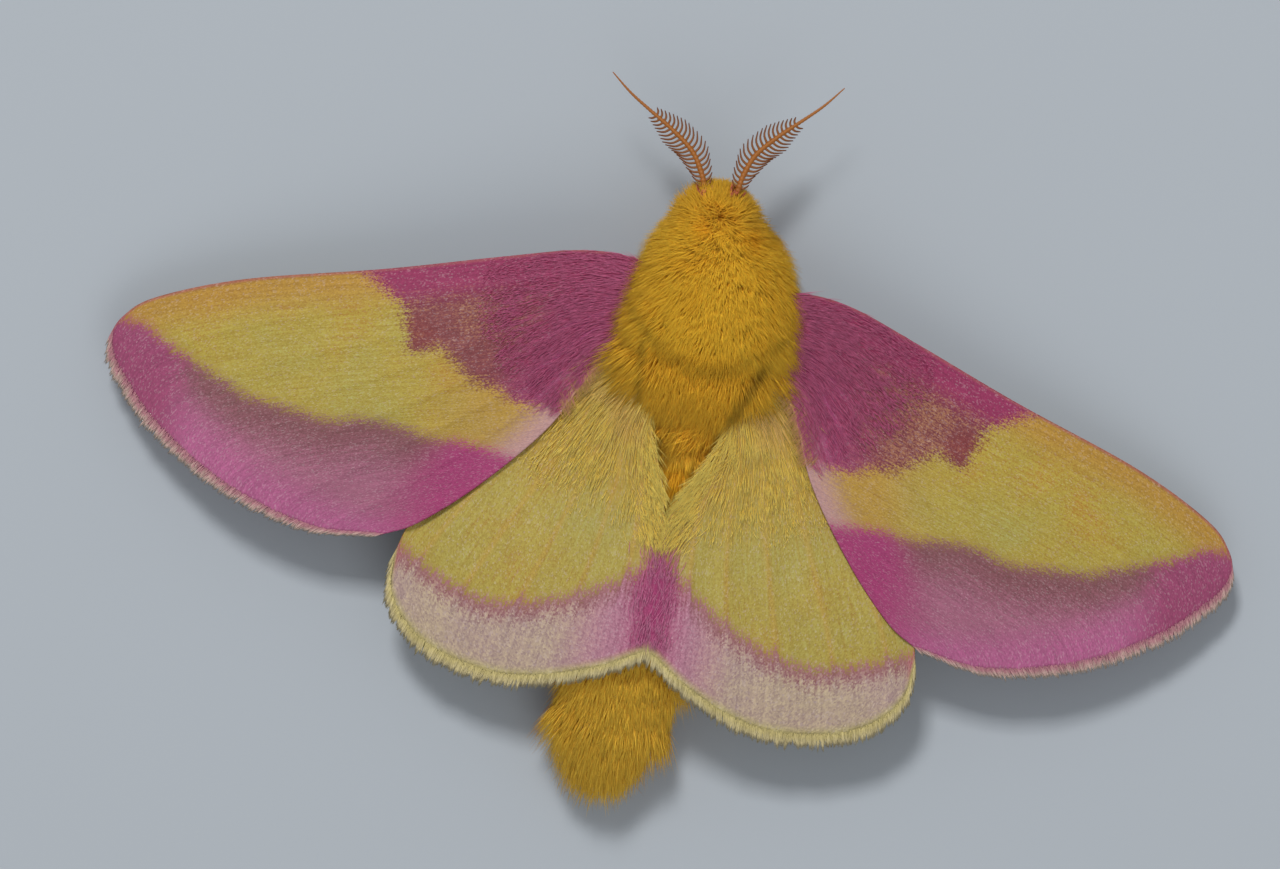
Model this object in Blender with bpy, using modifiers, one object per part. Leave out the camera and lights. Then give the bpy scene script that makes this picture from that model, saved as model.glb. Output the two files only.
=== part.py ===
"""A rosy maple moth at rest, life size, standing on z = 0, with its head towards -Y and its left towards +X.

Places on the body are given as (out, back): out is the distance from the midline, and back the distance
behind the middle of the thorax, which is negative in front of it. Numbers in the lists are millimetres.
"""

import math
import random

import bmesh
import bpy
import numpy as np
from mathutils import Vector

MM = 0.001
GAP = 0.33 * MM
SIDES = {"left": 1, "right": -1}

# Where the middle of the thorax stands, and how far the head is turned to the moth's left.
THORAX_ASIDE, THORAX_BACK = -0.35 * MM, -4.87 * MM
HEAD_TURN = math.radians(8.0)

# The wings lie in two layers along one tent, highest along the midline and falling away on all sides.
RIDGE_HEIGHT = 4.6
OUTWARD_FALL, OUTWARD_POWER = 0.083, 1.25
FRONT_FALL, FRONT_FALL_FROM = 0.020, 6.0
REAR_FALL, REAR_FALL_FROM = 0.024, 9.0
MEMBRANE = 0.5 * MM
VEIN_DEPTH = 0.85 * MM
VEIN_HALF_WIDTH = 0.016
LAYER_STEP = 0.85

# How much further than the average each wing reaches, and how far the seam between the hindwings runs aside.
FORE_REACH = {"left": 1.015, "right": 0.98}
HIND_REACH = {"left": 0.975, "right": 1.03}
SEAM_SHIFT, SEAM_FROM, SEAM_TO, SEAM_WIDTH = 0.32, 8.0, 13.0, 3.0

# Each wing's outline: its leading margin (costa), outer margin (termen) and inner margin.
FOREWING = {
    "costa": [
        (1.7, -0.7), (3.3, -1.1), (5.2, -0.95), (8.0, -0.1), (12.0, 1.2), (17.0, 2.65),
        (20.1, 4.0), (21.15, 4.95), (21.5, 5.8),
    ],
    "termen": [
        (21.5, 5.8), (21.35, 6.55), (20.7, 7.4), (19.2, 8.8), (16.4, 10.35), (13.0, 11.2), (10.2, 10.9),
    ],
    "inner": [(1.7, 1.8), (3.5, 2.9), (5.0, 5.75), (7.0, 8.3), (8.9, 10.15), (10.2, 10.9)],
    "veins": [0.14, 0.27, 0.41, 0.55, 0.69, 0.83],
    "rows": 11,
}
HINDWING = {
    "costa": [(1.6, 1.5), (3.4, 2.3), (5.6, 4.3), (7.8, 7.1), (9.3, 9.6), (9.9, 11.6)],
    "termen": [(9.9, 11.6), (9.7, 13.1), (8.5, 14.4), (6.6, 15.05), (4.4, 15.1), (2.0, 14.3), (0.2, 13.1)],
    "inner": [(1.4, 3.0), (1.35, 4.6), (0.85, 5.9), (0.4, 7.2), (0.2, 8.8), (0.18, 11.0), (0.2, 13.1)],
    "veins": [0.16, 0.34, 0.52, 0.70, 0.86],
    "rows": 10,
}

# Sections of the trunk under its locks: (back, half width, underside, crown, shift to the left).
THORAX = [
    (-2.9, 0.0, 3.5, 3.5, 0.2),
    (-2.6, 1.2, 2.3, 4.4, 0.2),
    (-1.8, 2.2, 1.3, 5.2, 0.1),
    (0.0, 2.75, 0.9, 5.8, 0.0),
    (1.8, 2.8, 0.9, 5.7, 0.0),
    (3.4, 2.3, 1.2, 5.2, 0.0),
    (4.4, 1.5, 1.8, 4.8, 0.0),
    (4.9, 0.0, 3.5, 3.5, 0.0),
]
ABDOMEN = [
    (4.5, 0.0, 2.5, 2.5, 0.0),
    (4.8, 1.3, 1.1, 3.7, 0.0),
    (6.2, 1.9, 0.6, 4.1, 0.0),
    (9.0, 2.1, 0.6, 3.9, 0.05),
    (12.5, 2.1, 0.6, 3.5, 0.25),
    (15.2, 1.95, 0.6, 3.1, 0.5),
    (16.8, 1.3, 0.8, 2.5, 0.62),
    (17.6, 0.0, 1.6, 1.6, 0.7),
]
HEAD = [
    (-4.4, 0.0, 3.0, 3.0, 0.0),
    (-4.15, 0.6, 2.4, 3.6, 0.0),
    (-3.7, 1.1, 2.0, 4.05, 0.0),
    (-3.2, 1.2, 1.9, 4.2, 0.0),
    (-2.85, 0.95, 2.1, 4.1, 0.0),
    (-2.6, 0.0, 3.2, 3.2, 0.0),
]
# Segments round each closed form, and rings along it.
THORAX_FACETS, ABDOMEN_FACETS, HEAD_FACETS, EYE_FACETS = (18, 12), (16, 14), (14, 10), (12, 8)
SHAFT_FACETS, RAY_FACETS, LEG_FACETS, LOCK_FACETS = (7, 16), (5, 4), (8, 16), (5, 5)

# Each coat: rows of locks from and to these shares of the body's length, the locks in a row, the angles that
# a row covers from the left side over the crown, and a lock's length, half width and rise in degrees.
THORAX_COAT = {
    "from": 0.13, "to": 0.93, "rows": 8, "count": 9, "low": -12, "high": 192,
    "length": 2.0, "half_width": 0.55, "rise": 24, "seed": 11,
}
ABDOMEN_COAT = {
    "from": 0.20, "to": 0.97, "rows": 8, "count": 7, "low": -38, "high": 218,
    "length": 2.0, "half_width": 0.6, "rise": 15, "seed": 8,
}
HEAD_COAT = {
    "from": 0.72, "to": 0.30, "rows": 4, "count": 5, "low": 20, "high": 160,
    "length": 0.95, "half_width": 0.42, "rise": 24, "seed": 3,
}
LOCK_HALF_THICKNESS = 0.26
LOCK_ROOT_DEPTH = 0.3

EYE_CENTRE = (1.12, -3.6, 3.0)
EYE_RADII = (0.42, 0.6, 0.66)

# An antenna's shaft, from inside the head to the tip: (out, back, height).
ANTENNA_PATH = [
    (0.42, -3.6, 3.7), (0.62, -4.3, 3.95), (0.8, -4.9, 4.0), (1.2, -5.65, 3.95), (2.0, -6.4, 3.8),
    (2.85, -7.05, 3.65), (3.6, -7.65, 3.55), (4.3, -8.35, 3.5),
]
ANTENNA_RADII = [0.27, 0.26, 0.25, 0.24, 0.22, 0.19, 0.14, 0.1]
RAY_SHARES = [0.24, 0.33, 0.42, 0.51, 0.6, 0.69]
RAY_LENGTH, RAY_RADII, RAY_SWEEP = 0.8, [0.25, 0.22, 0.12], 52.0

# Each leg, from inside the thorax over the knee and the ankle to the claws: (out, back, height) and radius.
LEGS = {
    "front": [
        (0.9, -1.2, 2.2), (1.4, -1.7, 1.3), (1.9, -2.1, 1.25),
        (1.6, -2.6, 0.6), (1.3, -3.0, 0.25), (0.85, -3.6, 0.25),
    ],
    "middle": [
        (1.2, 0.2, 2.0), (2.3, 0.2, 1.5), (3.5, 0.3, 1.8),
        (4.5, 0.6, 1.0), (5.3, 0.9, 0.25), (6.7, 1.4, 0.25),
    ],
    "hind": [
        (1.1, 2.0, 2.0), (2.4, 2.9, 1.5), (3.3, 3.9, 1.8),
        (4.1, 5.6, 1.0), (4.6, 6.9, 0.25), (5.2, 8.7, 0.25),
    ],
}
LEG_RADII = [0.42, 0.44, 0.40, 0.36, 0.29, 0.27]


def material(name, colour, roughness):
    """A plain dielectric finish of one colour."""
    finish = bpy.data.materials.new(name)
    finish.use_nodes = True
    shader = finish.node_tree.nodes["Principled BSDF"]
    shader.inputs["Base Color"].default_value = (*colour, 1.0)
    shader.inputs["Roughness"].default_value = roughness
    return finish


def through(points, shares):
    """Places at these shares of the length of a smooth Catmull-Rom curve through the points."""
    knots = np.asarray(points, float)
    ends = np.vstack([2 * knots[0] - knots[1], knots, 2 * knots[-1] - knots[-2]])
    t = np.linspace(0, 1, 13)[:-1, None]
    spans = [
        0.5 * (2 * b + (c - a) * t + (2 * a - 5 * b + 4 * c - d) * t**2 + (3 * b - a - 3 * c + d) * t**3)
        for a, b, c, d in zip(ends, ends[1:], ends[2:], ends[3:])
    ]
    line = np.vstack([*spans, knots[-1:]])
    run = np.concatenate([[0.0], np.cumsum(np.linalg.norm(np.diff(line, axis=0), axis=1))])
    at = np.asarray(shares, float) * run[-1]
    return np.stack([np.interp(at, run, line[:, k]) for k in range(line.shape[1])], axis=-1)


def tent(out, back):
    """Height of the hindwings' middle surface, in millimetres."""
    front = np.maximum(0.0, FRONT_FALL_FROM - back)
    rear = np.maximum(0.0, back - REAR_FALL_FROM)
    return RIDGE_HEIGHT - OUTWARD_FALL * out**OUTWARD_POWER - FRONT_FALL * front**2 - REAR_FALL * rear**2


def add_object(name, bm, finish, collection):
    """Turns a bmesh into a named object in the collection, with its faces turned outwards."""
    if bm.calc_volume(signed=True) < 0:
        bmesh.ops.reverse_faces(bm, faces=bm.faces)
    mesh = bpy.data.meshes.new(name)
    bm.to_mesh(mesh)
    bm.free()
    mesh.materials.append(finish)
    mesh.shade_smooth()
    obj = bpy.data.objects.new(name, mesh)
    collection.objects.link(obj)
    return obj


def loft(name, ring, facets, finish, collection):
    """A sphere whose rings are drawn out to ring(share), the centre and the half width and half height."""
    segments, rings = facets
    bm = bmesh.new()
    bmesh.ops.create_uvsphere(bm, u_segments=segments, v_segments=rings, radius=1.0)
    for vertex in bm.verts:
        polar = math.acos(max(-1.0, min(1.0, vertex.co.z)))
        around = math.atan2(vertex.co.y, vertex.co.x)
        centre, width, height = ring(polar / math.pi)
        at_pole = math.sin(polar) < 1e-4
        vertex.co = centre if at_pole else centre + width * math.cos(around) + height * math.sin(around)
    return add_object(name, bm, finish, collection)


def trunk_ring(sections):
    """Upright rings through the sections (back, half width, underside, crown, shift)."""

    def ring(share):
        back, half_width, underside, crown, shift = through(sections, share) * MM
        centre = Vector((shift, back, (underside + crown) / 2))
        return centre, Vector((max(half_width, 0), 0, 0)), Vector((0, 0, (crown - underside) / 2))

    return ring


def tube_ring(path, radii):
    """Round rings along a path, in millimetres, with radii spaced evenly along it."""

    def ring(share):
        before, here, after = through(path, [max(share - 0.02, 0), share, min(share + 0.02, 1)]) * MM
        along = Vector(after - before).normalized()
        side = along.cross(Vector((0, 0, 1))).normalized()
        radius = float(np.interp(share, np.linspace(0, 1, len(radii)), radii)) * MM
        return Vector(here), side * radius, side.cross(along) * radius

    return ring


def lock(root, along, outward, length, half_width, rise, finish, collection):
    """A flat tuft that tapers to its tip: it rises out of the body and bends down along the coat."""
    half_rise = rise / 2
    path = [
        root - outward * LOCK_ROOT_DEPTH * MM,
        root + (along * math.cos(rise) + outward * math.sin(rise)) * length * 0.5,
        root + (along * math.cos(half_rise) + outward * math.sin(half_rise)) * length,
    ]
    across = along.cross(outward).normalized()

    def ring(share):
        centre = Vector(through(path, share))
        fullness = min(1.0, 4 * share) ** 0.5 * (1 - share) ** 0.7
        return centre, across * half_width * fullness, outward * LOCK_HALF_THICKNESS * MM * fullness

    return loft("lock", ring, LOCK_FACETS, finish, collection)


def coat(ring, plan, finish, collection):
    """Rows of locks over the crown and the sides of a body, each set between the locks of the one before."""
    draw = random.Random(plan["seed"])
    step = 0.02 if plan["to"] > plan["from"] else -0.02
    for row in range(plan["rows"]):
        share = plan["from"] + (plan["to"] - plan["from"]) * row / (plan["rows"] - 1)
        for place in range(plan["count"]):
            turn = (place + 0.25 + 0.5 * (row % 2)) / plan["count"]
            angle = math.radians(plan["low"] + (plan["high"] - plan["low"]) * turn + draw.uniform(-5, 5))
            centre, width, height = ring(share)
            root = centre + width * math.cos(angle) + height * math.sin(angle)
            further, further_width, further_height = ring(share + step)
            next_root = further + further_width * math.cos(angle) + further_height * math.sin(angle)
            across = height * math.cos(angle) - width * math.sin(angle)
            along = (next_root - root).normalized()
            outward = along.cross(across).normalized()
            outward = outward if outward.dot(root - centre) > 0 else -outward
            along = (along + across.normalized() * draw.uniform(-0.3, 0.3)).normalized()
            lock(
                root,
                along,
                outward,
                plan["length"] * MM * draw.uniform(0.85, 1.15),
                plan["half_width"] * MM * draw.uniform(0.85, 1.1),
                math.radians(plan["rise"] + draw.uniform(-6, 6)),
                finish,
                collection,
            )


def joined(obj, pieces):
    """Applies one Boolean union of the object with all pieces of a collection, and removes the pieces."""
    modifier = obj.modifiers.new("with_all", "BOOLEAN")
    modifier.operation = "UNION"
    modifier.operand_type = "COLLECTION"
    modifier.collection = pieces
    bpy.context.view_layer.update()
    settle(obj)
    for piece in list(pieces.objects):
        bpy.data.objects.remove(piece)
    bpy.data.collections.remove(pieces)


def coated(name, sections, plan, facets, finish, moth):
    """A trunk section with its locks, as one closed surface."""
    core = loft(name, trunk_ring(sections), facets, finish, moth)
    locks = bpy.data.collections.new(f"{name}_locks")
    bpy.context.scene.collection.children.link(locks)
    coat(trunk_ring(sections), plan, finish, locks)
    joined(core, locks)
    return core


def inflated(obj, by, cutters):
    """Hides an object among the cutters and swells it, so that it cuts its neighbours clear of it."""
    for collection in list(obj.users_collection):
        collection.objects.unlink(obj)
    cutters.objects.link(obj)
    obj.name = f"{obj.name}_clearance"
    obj.hide_render = True
    obj.display_type = "WIRE"
    swell = obj.modifiers.new("swell", "DISPLACE")
    swell.mid_level = 0.0
    swell.strength = by
    return obj


def cut(obj, cutter):
    """Takes the cutter out of the object."""
    modifier = obj.modifiers.new(f"clear_of_{cutter.name}", "BOOLEAN")
    modifier.operation = "DIFFERENCE"
    modifier.object = cutter


def settle(obj):
    """Applies the modifiers and keeps the largest closed surface."""
    graph = bpy.context.evaluated_depsgraph_get()
    mesh = bpy.data.meshes.new_from_object(obj.evaluated_get(graph))
    obj.modifiers.clear()
    obj.data = mesh
    bm = bmesh.new()
    bm.from_mesh(mesh)
    left = set(bm.faces)
    surfaces = []
    while left:
        surface = set()
        edge = [left.pop()]
        while edge:
            face = edge.pop()
            surface.add(face)
            near = {other for side in face.edges for other in side.link_faces if other in left}
            left -= near
            edge.extend(near)
        surfaces.append(surface)
    largest = max(surfaces, key=lambda faces: sum(face.calc_area() for face in faces))
    scraps = [face for face in bm.faces if face not in largest]
    bmesh.ops.delete(bm, geom=scraps, context="FACES")
    bm.to_mesh(mesh)
    bm.free()


def wing(name, plan, side, reach, layer, finish, collection, plain=False):
    """A membrane over the tent whose main veins are ridges in its own surface. A plain one has no veins.

    Its outline is a Coons patch of the leading and inner margins with the outer margin and the root.
    """
    feet = [share + step * VEIN_HALF_WIDTH for share in plan["veins"] for step in (-1, 0, 1)]
    across = np.linspace(0, 1, 7) if plain else np.array([0.0, *feet, 1.0])
    along = np.linspace(0, 1, plan["rows"] + 1)
    u, v = np.meshgrid(along, across, indexing="ij")
    u, v = u[..., None], v[..., None]
    costa = through(plan["costa"], along)[:, None]
    inner = through(plan["inner"], along)[:, None]
    termen = through(plan["termen"], across)[None]
    root = (1 - v) * costa[0, 0] + v * inner[0, 0]
    front_chord = (1 - u) * costa[0, 0] + u * costa[-1, 0]
    rear_chord = (1 - u) * inner[0, 0] + u * inner[-1, 0]
    chords = (1 - v) * front_chord + v * rear_chord
    place = (1 - v) * costa + v * inner + (1 - u) * root + u * termen - chords
    out, back = place[..., 0], place[..., 1]
    height = tent(out, back) + layer
    root_out = plan["costa"][0][0]
    x = side * (root_out + (out - root_out) * reach)
    seam = np.clip((back - SEAM_FROM) / (SEAM_TO - SEAM_FROM), 0, 1) * np.exp(-((out / SEAM_WIDTH) ** 2))
    x = x - SEAM_SHIFT * seam

    bm = bmesh.new()
    bmesh.ops.create_grid(bm, x_segments=len(along) - 1, y_segments=len(across) - 1, size=1.0)
    weights = bm.verts.layers.deform.verify()
    thin = MEMBRANE / VEIN_DEPTH
    for vertex in bm.verts:
        i = round((vertex.co.x + 1) / 2 * (len(along) - 1))
        j = round((vertex.co.y + 1) / 2 * (len(across) - 1))
        vertex.co = Vector((x[i, j], back[i, j], height[i, j])) * MM
        crest = j % 3 == 2 and not plain
        vertex[weights][0] = thin + (1 - thin) * crest * min(1.0, 2.5 * along[i])
    bmesh.ops.triangulate(bm, faces=bm.faces)
    obj = add_object(name, bm, finish, collection)
    obj.vertex_groups.new(name="thickness")
    shell = obj.modifiers.new("membrane", "SOLIDIFY")
    shell.thickness = VEIN_DEPTH
    shell.offset = 0.0
    shell.vertex_group = "thickness"
    return obj


def eye_ring(side):
    """Level rings of an eye that is flattened from side to side."""
    out, back, height = EYE_CENTRE
    thick, deep, tall = EYE_RADII

    def ring(share):
        rise, girth = -math.cos(share * math.pi), math.sin(share * math.pi)
        centre = Vector((side * out, back, height + tall * rise)) * MM
        return centre, Vector((thick * girth, 0, 0)) * MM, Vector((0, deep * girth, 0)) * MM

    return ring


def shaft(name, side, finish, collection):
    """An antenna's tapering shaft, without its rays."""
    path = [(side * out, back, height) for out, back, height in ANTENNA_PATH]
    return loft(name, tube_ring(path, ANTENNA_RADII), SHAFT_FACETS, finish, collection)


def antenna(name, side, finish, moth):
    """A tapering shaft with rays on both sides, which lean towards the tip and curve with it."""
    feeler = shaft(name, side, finish, moth)
    rays = bpy.data.collections.new(f"{name}_rays")
    bpy.context.scene.collection.children.link(rays)
    path = [(side * out, back, height) for out, back, height in ANTENNA_PATH]
    for share in RAY_SHARES:
        here, after = (Vector(place) for place in through(path, [share, share + 0.03]))
        along = (after - here).normalized()
        for edge in (-1, 1):
            beside = along.cross(Vector((0, 0, 1))).normalized() * edge
            leaning = [math.radians(RAY_SWEEP), math.radians(RAY_SWEEP * 0.55)]
            middle, tip = (beside * math.sin(lean) + along * math.cos(lean) for lean in leaning)
            bend = here + middle * RAY_LENGTH * 0.55
            places = [here, bend, bend + tip * RAY_LENGTH * 0.45]
            loft("ray", tube_ring(places, RAY_RADII), RAY_FACETS, finish, rays)
    joined(feeler, rays)
    return feeler


def leg(name, path, side, finish, collection):
    """One smooth limb from inside the thorax to the claws, flat underneath where it stands."""
    path = [(side * out, back, height) for out, back, height in path]
    limb = loft(name, tube_ring(path, LEG_RADII), LEG_FACETS, finish, collection)
    for vertex in limb.data.vertices:
        vertex.co.z = max(vertex.co.z, 0.0)
    return limb


def main():
    for obj in list(bpy.data.objects):
        bpy.data.objects.remove(obj)
    moth = bpy.data.collections.new("rosy_maple_moth")
    cutters = bpy.data.collections.new("cutters")
    bpy.context.scene.collection.children.link(moth)
    bpy.context.scene.collection.children.link(cutters)

    yellow = material("yellow_coat", (0.62, 0.35, 0.03), 0.85)
    pink = material("rosy_forewing", (0.52, 0.11, 0.24), 0.7)
    pale = material("yellow_hindwing", (0.66, 0.50, 0.14), 0.7)
    leg_pink = material("rosy_leg", (0.55, 0.13, 0.22), 0.8)
    black = material("eye", (0.02, 0.015, 0.012), 0.15)
    brown = material("antenna", (0.45, 0.19, 0.04), 0.6)

    thorax = coated("thorax", THORAX, THORAX_COAT, THORAX_FACETS, yellow, moth)
    abdomen = coated("abdomen", ABDOMEN, ABDOMEN_COAT, ABDOMEN_FACETS, yellow, moth)
    head = coated("head", HEAD, HEAD_COAT, HEAD_FACETS, yellow, moth)

    def clearance(name, sections, facets, by):
        return inflated(loft(name, trunk_ring(sections), facets, yellow, cutters), by, cutters)

    beside_thorax = clearance("thorax_core", THORAX, THORAX_FACETS, GAP)
    beside_head = clearance("head_core", HEAD, HEAD_FACETS, GAP)
    whole_head = clearance("head_whole", HEAD, HEAD_FACETS, GAP * 2)
    whole_abdomen = clearance("abdomen_whole", ABDOMEN, ABDOMEN_FACETS, GAP * 2)
    turned = [head, beside_head, whole_head]

    for side_name, side in SIDES.items():
        for kind, plan, reach, layer, finish in (
            ("forewing", FOREWING, FORE_REACH, LAYER_STEP, pink),
            ("hindwing", HINDWING, HIND_REACH, 0.0, pale),
        ):
            panel = (plan, side, reach[side_name], layer, finish)
            wing(f"{kind}_{side_name}", *panel, moth)
            plain_wing = wing(f"{kind}_{side_name}_plain", *panel, cutters, plain=True)
            beside_wing = inflated(plain_wing, GAP * 1.3, cutters)
            cut(thorax, beside_wing)
            cut(abdomen, beside_wing)
        eye = loft(f"eye_{side_name}", eye_ring(side), EYE_FACETS, black, moth)
        plain_eye = loft(f"eye_{side_name}_whole", eye_ring(side), EYE_FACETS, black, cutters)
        beside_eye = inflated(plain_eye, GAP, cutters)
        feeler = antenna(f"antenna_{side_name}", side, brown, moth)
        beside_feeler = inflated(shaft(f"shaft_{side_name}", side, brown, cutters), GAP, cutters)
        turned += [eye, beside_eye, feeler, beside_feeler]
        cut(feeler, beside_head)
        cut(head, beside_eye)
        cut(head, beside_feeler)
        for place, path in LEGS.items():
            limb = leg(f"leg_{place}_{side_name}", path, side, leg_pink, moth)
            cut(limb, beside_thorax)
    cut(thorax, whole_head)
    cut(thorax, whole_abdomen)

    body = bpy.data.objects.new("moth", None)
    neck = bpy.data.objects.new("neck", None)
    moth.objects.link(body)
    moth.objects.link(neck)
    body.location = (THORAX_ASIDE, THORAX_BACK, 0)
    neck.parent = body
    neck.rotation_euler = (0, 0, HEAD_TURN)
    pieces = [piece for piece in moth.objects if piece.type == "MESH"]
    for piece in [*pieces, *cutters.objects]:
        piece.parent = neck if piece in turned else body
    bpy.context.view_layer.update()
    for piece in pieces:
        settle(piece)


main()
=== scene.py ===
"""The looks of a rosy maple moth at rest, head towards -Y, left side towards +X, standing on z = 0.

Places on the body are (out, back, height) in millimetres: out from the midline to the moth's left, and back
from the middle of the thorax. MM turns them into metres.
"""

import math

import bmesh
import bpy
import numpy as np
from mathutils import Matrix


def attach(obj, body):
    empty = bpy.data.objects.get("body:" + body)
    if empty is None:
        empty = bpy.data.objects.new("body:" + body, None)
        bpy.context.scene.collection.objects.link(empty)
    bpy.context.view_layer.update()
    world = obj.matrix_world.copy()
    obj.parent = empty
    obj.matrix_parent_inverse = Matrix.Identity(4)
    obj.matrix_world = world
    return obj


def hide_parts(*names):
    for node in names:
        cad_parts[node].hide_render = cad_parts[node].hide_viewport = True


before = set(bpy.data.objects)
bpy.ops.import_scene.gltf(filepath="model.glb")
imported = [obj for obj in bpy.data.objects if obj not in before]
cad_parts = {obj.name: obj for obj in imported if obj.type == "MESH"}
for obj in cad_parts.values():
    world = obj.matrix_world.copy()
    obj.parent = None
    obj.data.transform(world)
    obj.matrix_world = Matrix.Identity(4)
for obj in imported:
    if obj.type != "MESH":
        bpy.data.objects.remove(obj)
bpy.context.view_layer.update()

# The skin: head, thorax, abdomen and the six legs in one closed surface that lies under the coat. The trunk
# is drawn through upright oval sections, the legs are tubes, and a fine voxel mesh grows them together.
MM = 0.001
# Where the middle of the thorax stands in the frame, in millimetres.
MIDDLE = np.array([-0.35, -4.87, 0.0])
HEAD_TURN = math.radians(8.0)
# Sections of the trunk: (back, half width, underside, crown, shift to the left).
TRUNK = [
    (-4.2, 0.0, 3.0, 3.0, 0.58),
    (-4.05, 0.5, 2.5, 3.5, 0.56),
    (-3.6, 0.95, 2.15, 3.9, 0.50),
    (-3.2, 1.15, 2.05, 4.1, 0.42),
    (-2.8, 1.35, 1.95, 4.3, 0.30),
    (-2.4, 1.7, 1.75, 4.55, 0.18),
    (-1.7, 2.15, 1.45, 5.0, 0.06),
    (-0.5, 2.45, 1.2, 5.35, 0.0),
    (1.2, 2.5, 1.15, 5.4, 0.0),
    (2.8, 2.2, 1.3, 5.05, 0.0),
    (4.2, 1.6, 1.5, 4.4, 0.0),
    (5.0, 1.5, 1.3, 3.9, 0.0),
    (6.2, 1.65, 1.05, 3.75, 0.0),
    (9.0, 1.8, 0.95, 3.5, 0.05),
    (12.5, 1.8, 0.95, 2.95, 0.25),
    (15.2, 1.6, 0.95, 2.65, 0.50),
    (16.8, 1.0, 1.15, 2.25, 0.62),
    (17.4, 0.0, 1.65, 1.65, 0.68),
]
# Each leg, from inside the thorax over the knee and the ankle to the claws, on the left.
LEGS = {
    "front": [
        (0.9, -1.2, 2.2), (1.4, -1.7, 1.35), (1.8, -2.1, 1.25),
        (1.45, -2.6, 0.62), (1.14, -3.0, 0.24), (0.75, -3.6, 0.2),
    ],
    "middle": [
        (1.2, 0.2, 2.0), (2.3, 0.2, 1.5), (3.5, 0.3, 1.8),
        (4.5, 0.6, 1.0), (5.3, 0.9, 0.24), (6.65, 1.4, 0.2),
    ],
    "hind": [
        (1.1, 2.0, 2.0), (2.4, 2.9, 1.5), (3.3, 3.9, 1.8),
        (4.1, 5.6, 1.0), (4.6, 6.9, 0.24), (5.15, 8.6, 0.2),
    ],
}
LEG_RADII = [0.34, 0.33, 0.26, 0.20, 0.15, 0.15]
# Points along and round the trunk and each leg, before the voxel mesh.
TRUNK_GRID, LEG_GRID = (150, 64), (40, 14)
SKIN_VOXEL = 0.10
SIDES = {"left": 1, "right": -1}


def through(points, shares):
    """Places at these shares of the length of a smooth curve through the points (a Catmull-Rom spline)."""
    knots = np.asarray(points, float)
    ends = np.vstack([2 * knots[0] - knots[1], knots, 2 * knots[-1] - knots[-2]])
    t = np.linspace(0, 1, 25)[:-1, None]
    spans = [
        0.5 * (2 * b + (c - a) * t + (2 * a - 5 * b + 4 * c - d) * t**2 + (3 * b - a - 3 * c + d) * t**3)
        for a, b, c, d in zip(ends, ends[1:], ends[2:], ends[3:])
    ]
    line = np.vstack([*spans, knots[-1:]])
    run = np.concatenate([[0.0], np.cumsum(np.linalg.norm(np.diff(line, axis=0), axis=1))])
    at = np.clip(np.asarray(shares, float), 0, 1) * run[-1]
    return np.stack([np.interp(at, run, line[:, k]) for k in range(line.shape[1])], axis=-1)


def unit(vectors):
    """The vectors at length one."""
    return vectors / np.maximum(np.linalg.norm(vectors, axis=-1, keepdims=True), 1e-12)


def trunk(share, angle):
    """The trunk's skin: the centre of the section at this share, plus half its width times the cosine of the
    angle from the left side over the crown, plus half its height times the sine."""
    back, half_width, underside, crown, shift = np.moveaxis(through(TRUNK, share), -1, 0)
    x = shift + np.maximum(half_width, 0) * np.cos(angle)
    z = (underside + crown) / 2 + (crown - underside) / 2 * np.sin(angle)
    return np.stack([x, back + 0 * x, z], axis=-1)


def tube(path, radii, share, angle):
    """A round tube's skin: the path's point, plus the radius times the cosine of the angle round it along
    one side vector, plus the sine along the other. The radii are spaced evenly along the path."""
    centre = through(path, share)
    along = unit(through(path, np.minimum(share + 0.01, 1)) - through(path, np.maximum(share - 0.01, 0)))
    side = unit(np.cross(along, [0.0, 0.0, 1.0]))
    other = np.cross(side, along)
    radius = np.interp(share, np.linspace(0, 1, len(radii)), radii)
    return centre + radius[..., None] * (np.cos(angle)[..., None] * side + np.sin(angle)[..., None] * other)


def around(rows, columns):
    """Shares and angles of a grid of points round a tube."""
    angles = np.linspace(0, 2 * math.pi, columns, endpoint=False)
    return np.meshgrid(np.linspace(0, 1, rows), angles, indexing="ij")


def grid_faces(rows, columns, closed=True):
    """Quads between neighbouring points of a grid. A closed one joins its last column to its first."""
    row, column = np.meshgrid(np.arange(rows - 1), np.arange(columns - (0 if closed else 1)), indexing="ij")
    here, below = row * columns, (row + 1) * columns
    beside = (column + 1) % columns
    return np.stack([here + column, here + beside, below + beside, below + column], axis=-1).reshape(-1, 4)


def new_piece(name, points, faces):
    """A smooth mesh object at the origin, from points in millimetres about the middle of the thorax."""
    mesh = bpy.data.meshes.new(name)
    mesh.from_pydata((np.asarray(points).reshape(-1, 3) + MIDDLE) * MM, [], np.asarray(faces).tolist())
    mesh.shade_smooth()
    piece = bpy.data.objects.new(name, mesh)
    bpy.context.scene.collection.objects.link(piece)
    return piece


def close_ends(piece):
    """Welds the points that coincide, fills open ends and turns the faces outwards."""
    bm = bmesh.new()
    bm.from_mesh(piece.data)
    bmesh.ops.remove_doubles(bm, verts=bm.verts, dist=1e-7)
    bmesh.ops.holes_fill(bm, edges=[edge for edge in bm.edges if edge.is_boundary])
    bmesh.ops.recalc_face_normals(bm, faces=bm.faces)
    if bm.calc_volume(signed=True) < 0:
        bmesh.ops.reverse_faces(bm, faces=bm.faces)
    bm.to_mesh(piece.data)
    bm.free()


def leg_path(place, side_name):
    """The points of a leg, on this side of the body."""
    return np.array(LEGS[place]) * [SIDES[side_name], 1, 1]


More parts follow.
